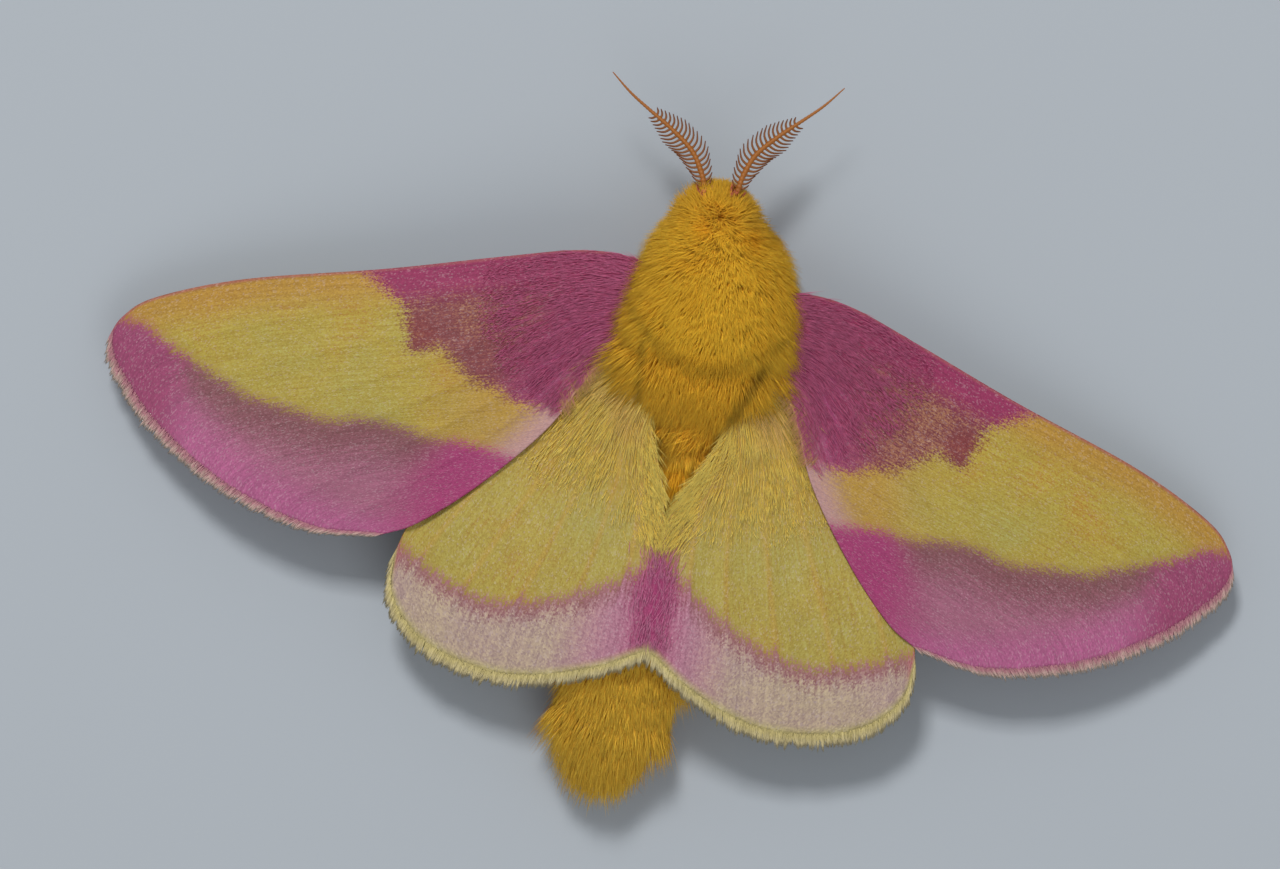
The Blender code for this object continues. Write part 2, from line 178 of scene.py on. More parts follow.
skin = new_piece("skin", trunk(*around(*TRUNK_GRID)), grid_faces(*TRUNK_GRID))
close_ends(skin)
limbs = []
for side_name in SIDES:
    for place in LEGS:
        limb_points = tube(leg_path(place, side_name), LEG_RADII, *around(*LEG_GRID))
        limb = new_piece(f"limb_{place}_{side_name}", limb_points, grid_faces(*LEG_GRID))
        close_ends(limb)
        limbs.append(limb)
with bpy.context.temp_override(active_object=skin, selected_editable_objects=[skin, *limbs]):
    bpy.ops.object.join()
fuse = skin.modifiers.new("fuse", "REMESH")
fuse.mode = "VOXEL"
fuse.voxel_size = SKIN_VOXEL * MM
fuse.use_smooth_shade = True
skin.data = bpy.data.meshes.new_from_object(skin.evaluated_get(bpy.context.evaluated_depsgraph_get()))
skin.modifiers.clear()
leg_nodes = [f"leg_{place}_{side_name}" for place in LEGS for side_name in SIDES]
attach(skin, "root")
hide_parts("head", "thorax", "abdomen", *leg_nodes)

# The markings of the body: golden yellow above, more orange in patches and on the wedge between the wings,
# and rosy underneath and on the legs. With them come painted shade in the gaps beside the wings' tufts and
# along the crease across the rear of the thorax, and painted light on the wedge, which the wings shade. One
# node group gives them to the skin and to every hair of the coat.
UNDERSIDE_FROM, UNDERSIDE_TO = 2.1, 1.3
REAR_FROM, REAR_TO = -3.6, 1.5


def paint(red, green, blue):
    """A linear colour from the 0 to 255 values of a colour picker."""
    return tuple(((value / 255 + 0.055) / 1.055) ** 2.4 for value in (red, green, blue)) + (1.0,)


# For the root and the tip of a hair: its colour on the thorax, in the more orange patches, on the abdomen,
# and underneath.
COAT_COLOURS = [
    ("Root", paint(222, 140, 16), paint(238, 140, 12), paint(236, 144, 16), paint(160, 74, 72)),
    ("Tip", paint(255, 204, 56), paint(255, 190, 42), paint(255, 208, 70), paint(206, 124, 104)),
]
# The painted shade in the gap between the thorax and the right wings' tufts: where it starts beside the
# middle, and its slope. The one on the left is straighter.
GAP_START, GAP_SLOPE = 3.05, 0.36
OTHER_START, OTHER_SLOPE = 2.5, 0.12


class Nodes:
    """Short ways to add nodes to a tree; the materials and the node groups share them."""

    def __init__(self, tree):
        self.tree = tree

    def node(self, kind, **settings):
        made = self.tree.nodes.new(kind)
        for name, value in settings.items():
            setattr(made, name, value)
        return made

    def feed(self, socket, value):
        """Links an output to a socket, or sets the socket where the value is a plain one."""
        if isinstance(value, bpy.types.NodeSocket):
            self.tree.links.new(value, socket)
        else:
            socket.default_value = value

    def group(self, tree, **values):
        made = self.node("ShaderNodeGroup", node_tree=tree)
        for name, value in values.items():
            self.feed(made.inputs[name], value)
        return made.outputs

    def attribute(self, name):
        return self.node("ShaderNodeAttribute", attribute_name=name).outputs["Fac"]

    def place(self):
        return self.node("ShaderNodeTexCoord").outputs["Object"]

    def blend(self, factor, first, second):
        """The first colour at a factor of 0, the second at 1."""
        mix = self.node("ShaderNodeMix", data_type="RGBA")
        self.feed(mix.inputs[0], factor)
        self.feed(mix.inputs[6], first)
        self.feed(mix.inputs[7], second)
        return mix.outputs[2]

    def maths(self, operation, *values):
        made = self.node("ShaderNodeMath", operation=operation)
        for socket, value in zip(made.inputs, values):
            self.feed(socket, value)
        return made.outputs[0]

    def times(self, first, second):
        return self.maths("MULTIPLY", first, second)

    def total(self, first, *others):
        for other in others:
            first = self.maths("ADD", first, other)
        return first

    def layered(self, colour, *layers):
        """A colour with others laid over it. Each layer is where it shows, from 0 to 1, and its colour."""
        for shows, layer in layers:
            colour = self.blend(shows, colour, layer)
        return colour

    def scaled(self, colour, factor):
        """The colour, made brighter or darker by a factor."""
        product = self.node("ShaderNodeVectorMath", operation="SCALE")
        self.feed(product.inputs[0], colour)
        self.feed(product.inputs["Scale"], factor)
        return product.outputs[0]

    def step(self, value, low, high, most=1.0):
        """0 where the value is low, this much where it is high, and smooth between them."""
        smooth = self.node("ShaderNodeMapRange", interpolation_type="SMOOTHSTEP")
        for socket, given in zip(smooth.inputs, (value, low, high, 0.0, most)):
            self.feed(socket, given)
        return smooth.outputs[0]

    def noise(self, vector, scale, detail=3.0):
        """Noise about 0, from -0.5 to 0.5."""
        cloud = self.node("ShaderNodeTexNoise")
        cloud.inputs["Scale"].default_value = scale
        cloud.inputs["Detail"].default_value = detail
        self.feed(cloud.inputs["Vector"], vector)
        return self.maths("SUBTRACT", cloud.outputs["Fac"], 0.5)

    def stretched(self, vector, scales):
        mapping = self.node("ShaderNodeMapping")
        mapping.inputs["Scale"].default_value = scales
        self.feed(mapping.inputs["Vector"], vector)
        return mapping.outputs[0]


class Finish(Nodes):
    """A material under construction, with its Principled shader."""

    def __init__(self, name, roughness, specular=0.5):
        self.material = bpy.data.materials.new(name)
        self.material.use_nodes = True
        super().__init__(self.material.node_tree)
        self.shader = self.tree.nodes["Principled BSDF"]
        self.shader.inputs["Roughness"].default_value = roughness
        self.shader.inputs["Specular IOR Level"].default_value = specular

    def colour(self, value):
        self.feed(self.shader.inputs["Base Color"], value)

    def bump(self, height, distance, strength):
        bump = self.node("ShaderNodeBump")
        bump.inputs["Distance"].default_value = distance
        bump.inputs["Strength"].default_value = strength
        self.feed(bump.inputs["Height"], height)
        self.feed(self.shader.inputs["Normal"], bump.outputs[0])


def new_group(name, inputs, outputs):
    """An empty node group with these sockets, given as names with their kinds."""
    tree = bpy.data.node_groups.new(name, "ShaderNodeTree")
    for way, sockets in (("INPUT", inputs), ("OUTPUT", outputs)):
        for socket_name, kind in sockets.items():
            tree.interface.new_socket(socket_name, in_out=way, socket_type=kind)
    return Nodes(tree)


markings = new_group("body_markings_and_painted_light", {}, {"Root": "NodeSocketColor", "Tip": "NodeSocketColor"})
marking_out = markings.node("NodeGroupOutput")
position = markings.node("ShaderNodeSeparateXYZ")
markings.feed(position.inputs[0], markings.place())
beside = markings.maths("SUBTRACT", position.outputs["X"], MIDDLE[0] * MM)
behind = markings.maths("SUBTRACT", position.outputs["Y"], MIDDLE[1] * MM)
sideways = markings.maths("ABSOLUTE", beside)
waves = markings.noise(markings.place(), 420.0)
wavy_height = markings.maths("MULTIPLY_ADD", waves, 1.2 * MM, position.outputs["Z"])
on_legs = markings.step(sideways, 2.6 * MM, 3.2 * MM, -0.8 * MM)
on_abdomen = markings.step(behind, 9.0 * MM, 13.0 * MM, 0.55 * MM)
wavy_height = markings.total(wavy_height, on_legs, on_abdomen)
upper = markings.step(wavy_height, UNDERSIDE_TO * MM, UNDERSIDE_FROM * MM)
rear = markings.step(position.outputs["Y"], REAR_FROM * MM, REAR_TO * MM)
patchy = markings.step(markings.noise(markings.place(), 520.0), 0.0, 0.25, 0.55)


def band(across, width, first, last):
    """1 along a line across the thorax and 0 away from it, between these distances back."""
    near = markings.step(markings.maths("ABSOLUTE", across), width * MM, 0.0)
    starts = markings.step(behind, (first - 0.4) * MM, (first + 0.4) * MM)
    ends = markings.step(behind, (last + 0.4) * MM, (last - 0.4) * MM)
    return markings.times(near, markings.times(starts, ends))


gap = markings.maths("MULTIPLY_ADD", behind, -GAP_SLOPE, markings.maths("ADD", beside, GAP_START * MM))
from_other = markings.maths("SUBTRACT", beside, OTHER_START * MM)
other_gap = markings.maths("MULTIPLY_ADD", behind, OTHER_SLOPE, from_other)
# Painted shade along the crease that curves across the rear of the thorax.
arc = markings.maths("MULTIPLY_ADD", markings.times(beside, beside), 0.2 / MM, behind)
rear_arc = band(markings.maths("SUBTRACT", arc, 2.5 * MM), 0.5, 0.5, 3.5)
collar = band(markings.maths("SUBTRACT", sideways, 1.0 * MM), 0.8, -3.2, -2.2)
wedge = band(sideways, 1.6, 6.1, 9.0)
ends = markings.total(band(sideways, 5.0, 2.0, 6.0), markings.step(behind, -2.0 * MM, -3.2 * MM))
orange = markings.maths("MAXIMUM", patchy, markings.maths("MAXIMUM", collar, wedge))
orange = markings.maths("MAXIMUM", orange, markings.times(ends, 0.6))
# Painted shade darkens the gaps beside the wings' tufts and the crease across the rear of the thorax, and
# painted light brightens the wedge, which the wings shade. The colour is also a little darker over the head.
darker = markings.total(
    markings.times(band(gap, 0.42, 1.8, 4.4), 0.5),
    markings.times(band(other_gap, 0.3, 1.8, 5.2), 0.3),
    markings.times(rear_arc, 0.22),
    markings.step(behind, -2.5 * MM, -3.3 * MM, 0.18),
    markings.times(wedge, -0.16),
)
shade = markings.maths("SUBTRACT", 1.0, darker)
for end, thorax_colour, patch_colour, abdomen_colour, belly_colour in COAT_COLOURS:
    upper_colour = markings.blend(rear, thorax_colour, abdomen_colour)
    upper_colour = markings.scaled(markings.blend(orange, upper_colour, patch_colour), shade)
    markings.feed(marking_out.inputs[end], markings.blend(upper, belly_colour, upper_colour))

skin_finish = Finish("skin", 0.7)
marked = skin_finish.group(markings.tree)
grain = skin_finish.noise(skin_finish.place(), 4000.0)
skin_finish.colour(skin_finish.blend(skin_finish.step(grain, -0.2, 0.3), marked["Root"], marked["Tip"]))
skin_finish.bump(grain, 0.05 * MM, 1.0)
skin.data.materials.clear()
skin.data.materials.append(skin_finish.material)

# The wings: two thin membranes a side, stiffened by fine veins and dusted with coloured scales. They lie as
# one low tent, the forewing over the hindwing, with their roots under the hair of the thorax.
RIDGE_HEIGHT = 4.6
OUTWARD_FALL, OUTWARD_POWER = 0.083, 1.25
FRONT_FALL, FRONT_FALL_FROM = 0.020, 6.0
REAR_FALL, REAR_FALL_FROM = 0.024, 9.0
# The forewing's height above the hindwing: at its inner margin, and how much more this far in front of it.
LAYER_STEP, LAYER_RISE, LAYER_WIDTH = 0.16, 0.60, 4.5
# The straight line that stands for the forewing's inner margin there: its start, and its run back for each
# millimetre out.
INNER_OUT, INNER_BACK, INNER_SLOPE = 1.7, 1.8, 1.07
WING_THICKNESS = 0.07
VEIN_WIDTH = 0.10
# The seam between the two hindwings: how far it leans to the moth's right, between which distances back, and
# how wide a strip leans with it.
SEAM_SHIFT, SEAM_FROM, SEAM_TO, SEAM_WIDTH = 0.32, 8.0, 13.0, 3.0
ROWS, COLUMNS = 150, 121
MAP_WIDTH = 30.0
# The outlines are places on the left wing. Veins are shares across it, from the leading to the inner margin.
WINGS = {
    "forewing": {
        "costa": [
            (1.7, -0.7), (3.3, -1.1), (5.2, -0.95), (8.0, -0.1), (12.0, 1.2),
            (17.0, 2.65), (20.1, 4.0), (21.15, 4.95), (21.5, 5.8),
        ],
        "termen": [
            (21.5, 5.8), (21.35, 6.55), (20.7, 7.4), (19.2, 8.8), (16.4, 10.35), (13.0, 11.2), (10.2, 10.9),
        ],
        "inner": [(1.7, 1.8), (3.5, 2.9), (5.0, 5.75), (7.0, 8.3), (8.9, 10.15), (10.2, 10.9)],
        "veins": [0.14, 0.27, 0.41, 0.55, 0.69, 0.83],
        "reach": {"left": 1.015, "right": 0.98}, "above": 1.0, "relief": 0.035, "pleat": 0.03,
    },
    "hindwing": {
        "costa": [(1.6, 1.5), (3.4, 2.3), (5.6, 4.3), (7.8, 7.1), (9.3, 9.6), (9.9, 11.6)],
        "termen": [
            (9.9, 11.6), (9.7, 13.1), (8.5, 14.4), (6.6, 15.05), (4.4, 15.1), (2.0, 14.3), (-0.04, 13.1),
        ],
        "inner": [
            (1.4, 3.0), (1.35, 4.6), (0.85, 5.9), (0.3, 7.2), (0.0, 8.8), (-0.04, 11.0), (-0.04, 13.1),
        ],
        "veins": [0.16, 0.34, 0.52, 0.70, 0.86],
        "reach": {"left": 0.975, "right": 1.03}, "above": 0.0, "relief": 0.035, "pleat": 0.08,
    },
}
# The edges of the markings on the left wing: the rosy base's outer edge and the outer band's inner edge.
FORE_BASE = [
    (13.6, 0.7), (12.6, 1.55), (11.8, 2.0), (11.0, 2.6), (10.8, 3.2), (10.6, 3.8), (10.2, 3.95), (9.5, 3.75),
    (8.8, 4.1), (8.0, 4.6), (7.2, 4.7), (6.4, 5.0), (5.6, 5.05), (5.0, 5.1), (4.0, 5.2),
]
FORE_BAND = [
    (22.3, 4.6), (21.2, 5.0), (20.2, 5.1), (19.0, 5.7), (18.0, 6.1), (17.0, 6.5), (16.0, 6.85), (15.0, 6.95),
    (13.0, 7.1), (12.0, 6.85), (11.0, 6.75), (10.0, 6.85), (9.0, 7.0), (8.0, 6.85), (7.0, 6.95), (5.9, 7.1),
    (4.5, 7.3),
]
HIND_BAND = [
    (10.6, 10.8), (9.5, 11.2), (8.9, 11.5), (8.0, 11.9), (7.0, 12.25), (6.0, 12.4), (5.0, 12.3),
    (4.0, 11.95), (3.0, 11.6), (2.0, 11.0), (1.3, 10.6), (0.8, 10.2), (0.3, 9.8), (0.0, 9.2), (-0.6, 8.4),
]


def tent(out, back):
    """Height of the hindwings' middle surface: the ridge, less a fall outwards, forwards and backwards."""
    front_part = np.maximum(0.0, FRONT_FALL_FROM - back)
    rear_part = np.maximum(0.0, back - REAR_FALL_FROM)
    outward_part = OUTWARD_FALL * np.abs(out) ** OUTWARD_POWER
    return RIDGE_HEIGHT - outward_part - FRONT_FALL * front_part**2 - REAR_FALL * rear_part**2


def above_hindwing(out, back):
    """How far the forewing lies above the hindwing: the step at its inner margin, plus the rise times a
    smooth step of the distance in front of it, the share squared times three less twice the share."""
    inner_margin = INNER_BACK + INNER_SLOPE * (np.abs(out) - INNER_OUT)
    from_inner = (inner_margin - back) / math.hypot(1, INNER_SLOPE)
    share = np.clip(from_inner / LAYER_WIDTH, 0, 1)
    return LAYER_STEP + LAYER_RISE * share**2 * (3 - 2 * share)


def patch(plan, u, v):
    """Plan places on a wing: a Coons patch between its leading, inner and outer margins and its root."""
    costa, inner, termen = through(plan["costa"], u), through(plan["inner"], u), through(plan["termen"], v)
    u, v = u[..., None], v[..., None]
    front_root, front_tip = np.array(plan["costa"][0]), np.array(plan["costa"][-1])
    rear_root, rear_tip = np.array(plan["inner"][0]), np.array(plan["inner"][-1])
    root = (1 - v) * front_root + v * rear_root
    corners = (1 - v) * ((1 - u) * front_root + u * front_tip) + v * ((1 - u) * rear_root + u * rear_tip)
    return (1 - v) * costa + v * inner + (1 - u) * root + u * termen - corners


def on_wing(plan, side_name, place, lift=0.0):
    """Puts plan places onto the tent, at one side of the body: their distance out from the wing's root is
    scaled by the side's reach, and those at the seam lean with it."""
    out, back = place[..., 0], place[..., 1]
    height = tent(out, back) + plan["above"] * above_hindwing(out, back) + lift
    root_out = plan["costa"][0][0]
    x = SIDES[side_name] * (root_out + (out - root_out) * plan["reach"][side_name])
    seam = np.clip((back - SEAM_FROM) / (SEAM_TO - SEAM_FROM), 0, 1) * np.exp(-((out / SEAM_WIDTH) ** 2))
    return np.stack([x - SEAM_SHIFT * seam, back, height], axis=-1)


def beyond(places, line):
    """Distance of each place from a smooth line, positive on the line's right as it is walked."""
    points = through(line, np.linspace(0, 1, 160))
    steps = np.diff(points, axis=0)
    middles = points[:-1] + steps / 2
    flat = places.reshape(-1, 2)
    nearest = np.argmin(((flat[:, None] - middles[None]) ** 2).sum(-1), axis=1)
    away, step = flat - middles[nearest], steps[nearest]
    size = np.linalg.norm(step, axis=1)
    sideways = (step[:, 1] * away[:, 0] - step[:, 0] * away[:, 1]) / size
    lengthways = np.abs((step * away).sum(1)) / size
    distance = np.hypot(sideways, np.maximum(lengthways - size, 0))
    return (np.sign(sideways) * distance).reshape(places.shape[:-1])


def walked(places, axis):
    """How far each place is from the start of its row of places, along that axis of the grid."""
    steps = np.linalg.norm(np.diff(places, axis=axis), axis=-1)
    return np.concatenate([np.zeros_like(np.take(steps, [0], axis)), np.cumsum(steps, axis)], axis)


def keep_values(mesh, key, values):
    """Keeps one number for each point of a mesh, as an attribute for its material."""
    attribute = mesh.attributes.new(key, "FLOAT", "POINT")
    attribute.data.foreach_set("value", values.ravel().astype(np.float32))


def wing(kind, side_name, finish):
    """A thin sheet over the tent: its height gains a low bell-shaped ridge along each vein, and between two
    veins a shallow trough, the square of a sine."""
    plan = WINGS[kind]
    u, v = np.meshgrid(np.linspace(0, 1, ROWS), np.linspace(0, 1, COLUMNS), indexing="ij")
    place = patch(plan, u, v)
    from_costa, from_root = walked(place, 1), walked(place, 0)
    width = from_costa[:, -1:]
    veins = np.array([0.0, *plan["veins"], 1.0])
    to_vein = np.abs(v[..., None] - veins).min(-1) * width
    ridge = np.exp(-((to_vein / VEIN_WIDTH) ** 2))
    cell = np.clip(np.searchsorted(veins, v[0], side="right") - 1, 0, len(veins) - 2)
    between = (v[0] - veins[cell]) / (veins[cell + 1] - veins[cell])
    trough = np.sin(math.pi * between) ** 2 * np.minimum(1, width / 6)
    lift = (plan["relief"] * ridge - plan["pleat"] * trough) * np.clip(u * 4, 0, 1)
    points = on_wing(plan, side_name, place, lift)
    faces = grid_faces(ROWS, COLUMNS, closed=False)[:, :: SIDES[side_name]]
    piece = new_piece(f"{kind}_{side_name}_scaled", points, faces)
    masks = {
        "from_costa": from_costa,
        "from_inner": width - from_costa,
        "from_margin": from_root[-1:] - from_root,
        "vein": ridge,
        "out": place[..., 0],
        "back": place[..., 1],
    }
    if kind == "forewing":
        masks["beyond_base"] = beyond(place, FORE_BASE)
        masks["beyond_band"] = beyond(place, FORE_BAND)
    else:
        masks["beyond_band"] = beyond(place, HIND_BAND)
    for key, values in masks.items():
        keep_values(piece.data, key, values)
    across = from_costa if kind == "forewing" else v * width.mean()
    spread_out = np.stack([across, from_root], axis=-1).reshape(-1, 2) / MAP_WIDTH
    corners = np.empty(len(piece.data.loops), np.int32)
    piece.data.loops.foreach_get("vertex_index", corners)
    layer = piece.data.uv_layers.new(name="scale_rows")
    layer.data.foreach_set("uv", spread_out[corners].astype(np.float32).ravel())
    sheet = piece.modifiers.new("membrane", "SOLIDIFY")
    sheet.thickness = WING_THICKNESS * MM
    sheet.offset = 0.0
    piece.data.materials.append(finish.material)
    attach(piece, "root")
    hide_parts(f"{kind}_{side_name}")


# The scales: a node group of small overlapping cells in rows, each with its own tone, a few of which carry a
# painted glint, a highlight painted into the colour, and of streaks that run out along the wing. Both are
# counted across the wing and along it.
SCALES_PER_MM = (25.0, 15.0)
STREAKS_PER_MM = (12.0, 0.45)
FLOAT = "NodeSocketFloat"
scales = new_group("wing_scales", {}, {"Tone": FLOAT, "Painted Glint": FLOAT, "Streak": FLOAT, "Height": FLOAT})
scales_out = scales.node("NodeGroupOutput")
rows_map = scales.node("ShaderNodeUVMap", uv_map="scale_rows").outputs[0]
cells = scales.node("ShaderNodeTexVoronoi")
cells.inputs["Scale"].default_value = 1.0
cell_map = scales.stretched(rows_map, (*[MAP_WIDTH * count for count in SCALES_PER_MM], 1.0))
scales.feed(cells.inputs["Vector"], cell_map)
cell_values = scales.node("ShaderNodeSeparateColor")
scales.feed(cell_values.inputs[0], cells.outputs["Color"])
scales.feed(scales_out.inputs["Tone"], scales.maths("SUBTRACT", cell_values.outputs[0], 0.5))
# Painted glints: the cells with the highest second random value, where the colour turns pale as a painted
# highlight.
scales.feed(scales_out.inputs["Painted Glint"], scales.step(cell_values.outputs[1], 0.76, 1.0))
streak_map = scales.stretched(rows_map, (*[MAP_WIDTH * count for count in STREAKS_PER_MM], 1.0))
scales.feed(scales_out.inputs["Streak"], scales.noise(streak_map, 1.0, 4.0))
scales.feed(scales_out.inputs["Height"], cells.outputs["Distance"])


def scale_finish(name):
    """A soft satin finish, and the outputs of the scales that the wing's colours need."""
    finish = Finish(name, 0.6, 0.25)
    given = finish.group(scales.tree)
    finish.bump(finish.total(given["Height"], given["Streak"]), 0.02 * MM, 0.5)
    return finish, given["Tone"], given["Painted Glint"], given["Streak"]


def dust_and_painted_glints(finish, colour, tone, painted_glint, streak, painted_shine, contrast):
    """The wing's colour, varied from scale to scale and from streak to streak, with a few painted pale
    glints, highlights blended into the colour.
    """
    streaked = finish.maths("MULTIPLY_ADD", streak, contrast, 1.0)
    varied = finish.scaled(colour, finish.total(finish.times(tone, 0.3), streaked))
    finish.colour(finish.blend(finish.times(painted_glint, painted_shine), varied, paint(226, 206, 206)))


# The forewing's colours: rosy pink at the base and along the outer margin, dusky next to the yellow between
# them, and darkest at one corner of the base. Every edge is ragged, because it runs between scales.
DARK_SPOT = (10.4, 3.5)
fore, tone, painted_glint, streak = scale_finish("forewing_scales")
clouds = fore.noise(fore.place(), 300.0, 4.0)
uneven = fore.total(clouds, fore.times(streak, 0.6), fore.times(tone, 0.3))
ragged = fore.total(fore.times(tone, 0.42), fore.times(streak, 0.75))
out, from_costa = fore.attribute("out"), fore.attribute("from_costa")
past_band = fore.total(fore.attribute("beyond_band"), ragged)
past_base = fore.total(fore.attribute("beyond_base"), ragged)
near_costa = fore.total(from_costa, ragged)
near_inner = fore.total(fore.attribute("from_inner"), ragged)
yellow = fore.layered(
    paint(172, 150, 62),
    (fore.step(uneven, 0.0, 0.35), paint(162, 154, 82)),
    (fore.step(uneven, -0.05, -0.4), paint(186, 138, 52)),
    (fore.step(from_costa, 1.9, 0.3, 0.75), paint(176, 126, 50)),
    (fore.step(out, 10.5, 7.0, 0.6), paint(178, 130, 58)),
    (fore.times(fore.step(near_inner, 1.5, 0.1), fore.step(out, 9.0, 6.5)), paint(182, 140, 136)),
)
dusky = fore.blend(fore.step(uneven, -0.05, 0.25), paint(128, 68, 68), paint(158, 112, 78))
margin_colour = fore.blend(fore.step(out, 5.5, 3.5), paint(180, 122, 138), paint(186, 132, 92))
from_spot = [fore.maths("SUBTRACT", fore.attribute(key), at) for key, at in zip(("out", "back"), DARK_SPOT)]
from_spot = fore.total(*[fore.times(part, part) for part in from_spot])
base = fore.layered(
    paint(124, 40, 68),
    (fore.step(uneven, -0.25, 0.3), paint(136, 56, 84)),
    (fore.step(near_costa, 1.9, 0.7), paint(146, 50, 88)),
    (fore.step(near_inner, 3.4, 1.4), paint(154, 60, 104)),
    (fore.times(fore.step(out, 5.0, 8.5, 0.9), fore.step(near_costa, 0.8, 1.9)), dusky),
    (fore.step(from_spot, 1.2, 0.1, 0.5), paint(132, 56, 56)),
    (fore.step(near_inner, 1.1, 0.1), margin_colour),
)
outer = fore.layered(
    paint(128, 80, 84),
    (fore.step(past_band, 0.2, 2.4), paint(158, 96, 118)),
    (fore.step(fore.attribute("from_margin"), 2.6, 0.6), paint(172, 92, 132)),
    (fore.times(fore.step(near_inner, 3.4, 1.6), fore.step(out, 11.5, 8.0)), paint(158, 58, 106)),
    (fore.step(fore.total(out, ragged), 17.6, 19.4), paint(148, 68, 102)),
)
colour = fore.layered(
    yellow,
    (fore.step(past_base, 0.28, -0.28), base),
    (fore.step(past_band, -0.28, 0.28), outer),
    (fore.step(from_costa, 0.16, 0.04, 0.7), paint(160, 84, 88)),
)
dust_and_painted_glints(fore, colour, tone, painted_glint, streak, 0.17, 0.6)

# The hindwing's colours: yellow, with a pale rosy outer band that is dusky along its inner edge and vivid
# pink at the inner corner. The edge reaches in along each vein.
hind, tone, painted_glint, streak = scale_finish("hindwing_scales")
clouds = hind.noise(hind.place(), 300.0, 4.0)
uneven = hind.total(clouds, hind.times(streak, 0.9), hind.times(tone, 0.3))
softly = hind.total(clouds, hind.times(streak, 0.35), hind.times(tone, 0.3))
ragged = hind.total(hind.times(tone, 0.42), hind.times(streak, 0.9))
vein, from_inner = hind.attribute("vein"), hind.attribute("from_inner")
past_band = hind.total(hind.attribute("beyond_band"), ragged, hind.times(vein, 0.25))
near_inner = hind.total(from_inner, ragged)
near_root = hind.total(hind.attribute("back"), hind.times(streak, 4.0))
yellow = hind.layered(
    paint(172, 152, 70),
    (hind.step(uneven, -0.05, 0.4), paint(164, 154, 84)),
    (hind.step(uneven, -0.05, -0.5), paint(184, 142, 60)),
    (hind.times(vein, 0.35), paint(186, 136, 58)),
    (hind.step(from_inner, 1.5, 0.2, 0.5), paint(190, 146, 84)),
    (hind.step(near_root, 9.0, 4.5, 0.6), paint(190, 146, 54)),
)
pale = hind.layered(
    paint(172, 142, 140),
    (hind.step(softly, -0.4, 0.4), paint(184, 164, 134)),
    (hind.step(near_inner, 4.2, 1.4), paint(178, 122, 140)),
    (hind.step(past_band, 1.0, 0.1), paint(154, 100, 104)),
    (hind.step(near_inner, 1.7, 0.1), paint(160, 60, 106)),
    (hind.step(hind.attribute("from_costa"), 1.3, 0.2), paint(168, 94, 100)),
    (hind.step(hind.attribute("from_margin"), 0.6, 0.1), paint(184, 172, 112)),
)
dust_and_painted_glints(hind, hind.blend(hind.step(past_band, -0.25, 0.25), yellow, pale), tone, painted_glint, streak, 0.18, 0.5)

for side_name in SIDES:
    wing("forewing", side_name, fore)
    wing("hindwing", side_name, hind)

# The coat: long soft hair in tufts over the whole trunk. Each hair is a slim tapered blade that is rooted in
# the skin, rises out of it and bends back along the body, and the hairs of one lock draw together at their
# tips.
# The half width of a hair, which each coat scales, the points in its mesh, and its patch of the bake's map.
HAIR, HAIR_POINTS, BAKE_PATCH = 0.019, 7, 0.003
# How far apart a surface is measured for its slope, as a share along it and an angle round it.
SHARE_STEP, ANGLE_STEP = 0.003, 0.02
# A hair's height over its half width: full on the legs, softer on the body, and flat on the wings.
FULL, SOFT, FLAT = 0.7, 0.4, 0.15
ROUND = (0, 360)
# Half the opening between the hindwings' inner margins, at these distances back.
OPENING_BACK, OPENING_HALF = [1.5, 3.0, 4.6, 5.9, 7.2, 8.8, 10.0], [1.6, 1.4, 1.35, 0.85, 0.36, 0.08, 0.02]
# The body's hair lies on a forewing only in front of this line from its inner root, by its run back for each
# millimetre out.
FORE_LINE = 0.61


def hairs(name, root, middle, tip, outward, half_width, root_uv, tint, finish, slot, ridge=FULL):
    """One mesh of many hairs. A hair's spine is the quadratic curve (1-t)^2 root + 2t(1-t) middle + t^2 tip.
    At its root and half way stand three corners round it, two to the sides and one outwards, and it ends in
    a point."""
    count = len(root)
    half_way = (root + 2 * middle + tip) / 4
    across = unit(np.cross(tip - root, outward)) * half_width[:, None]
    up = outward * half_width[:, None] * ridge
    ring = np.stack([across, up, -across], axis=1)
    points = np.concatenate([root[:, None] + 0.8 * ring, half_way[:, None] + ring, tip[:, None]], axis=1)
    # Three quads from the root's corners, 0 to 2, to those half way, 3 to 5, and three triangles to the tip.
    corners = np.array([0, 1, 4, 3, 1, 2, 5, 4, 2, 0, 3, 5, 3, 4, 6, 4, 5, 6, 5, 3, 6])
    loops = (corners[None] + HAIR_POINTS * np.arange(count)[:, None]).ravel()
    sizes = np.tile([4, 4, 4, 3, 3, 3], count)
    mesh = bpy.data.meshes.new(name)
    mesh.vertices.add(count * HAIR_POINTS)
    mesh.vertices.foreach_set("co", ((points + MIDDLE) * MM).ravel())
    mesh.loops.add(len(loops))
    mesh.loops.foreach_set("vertex_index", loops)
    mesh.polygons.add(len(sizes))
    mesh.polygons.foreach_set("loop_start", np.concatenate([[0], np.cumsum(sizes)[:-1]]))
    mesh.update(calc_edges=True)
    mesh.shade_smooth()
    along = np.array([0.0, 0.0, 0.0, 0.5, 0.5, 0.5, 1.0])
    beside = np.array([0.0, 0.5, 1.0, 0.0, 0.5, 1.0, 0.5])
    keep_values(mesh, "reach", np.tile(along, count))
    keep_values(mesh, "tint", np.repeat(tint, HAIR_POINTS))
    places = root_uv[:, None] + BAKE_PATCH * np.stack([beside, along], axis=-1)[None]
    layer = mesh.uv_layers.new(name="OFBake")
    layer.data.foreach_set("uv", places.reshape(-1, 2)[loops].astype(np.float32).ravel())
    piece = bpy.data.objects.new(name, mesh)
    bpy.context.scene.collection.objects.link(piece)
    mesh.materials.append(finish.material)
    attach(piece, "root")


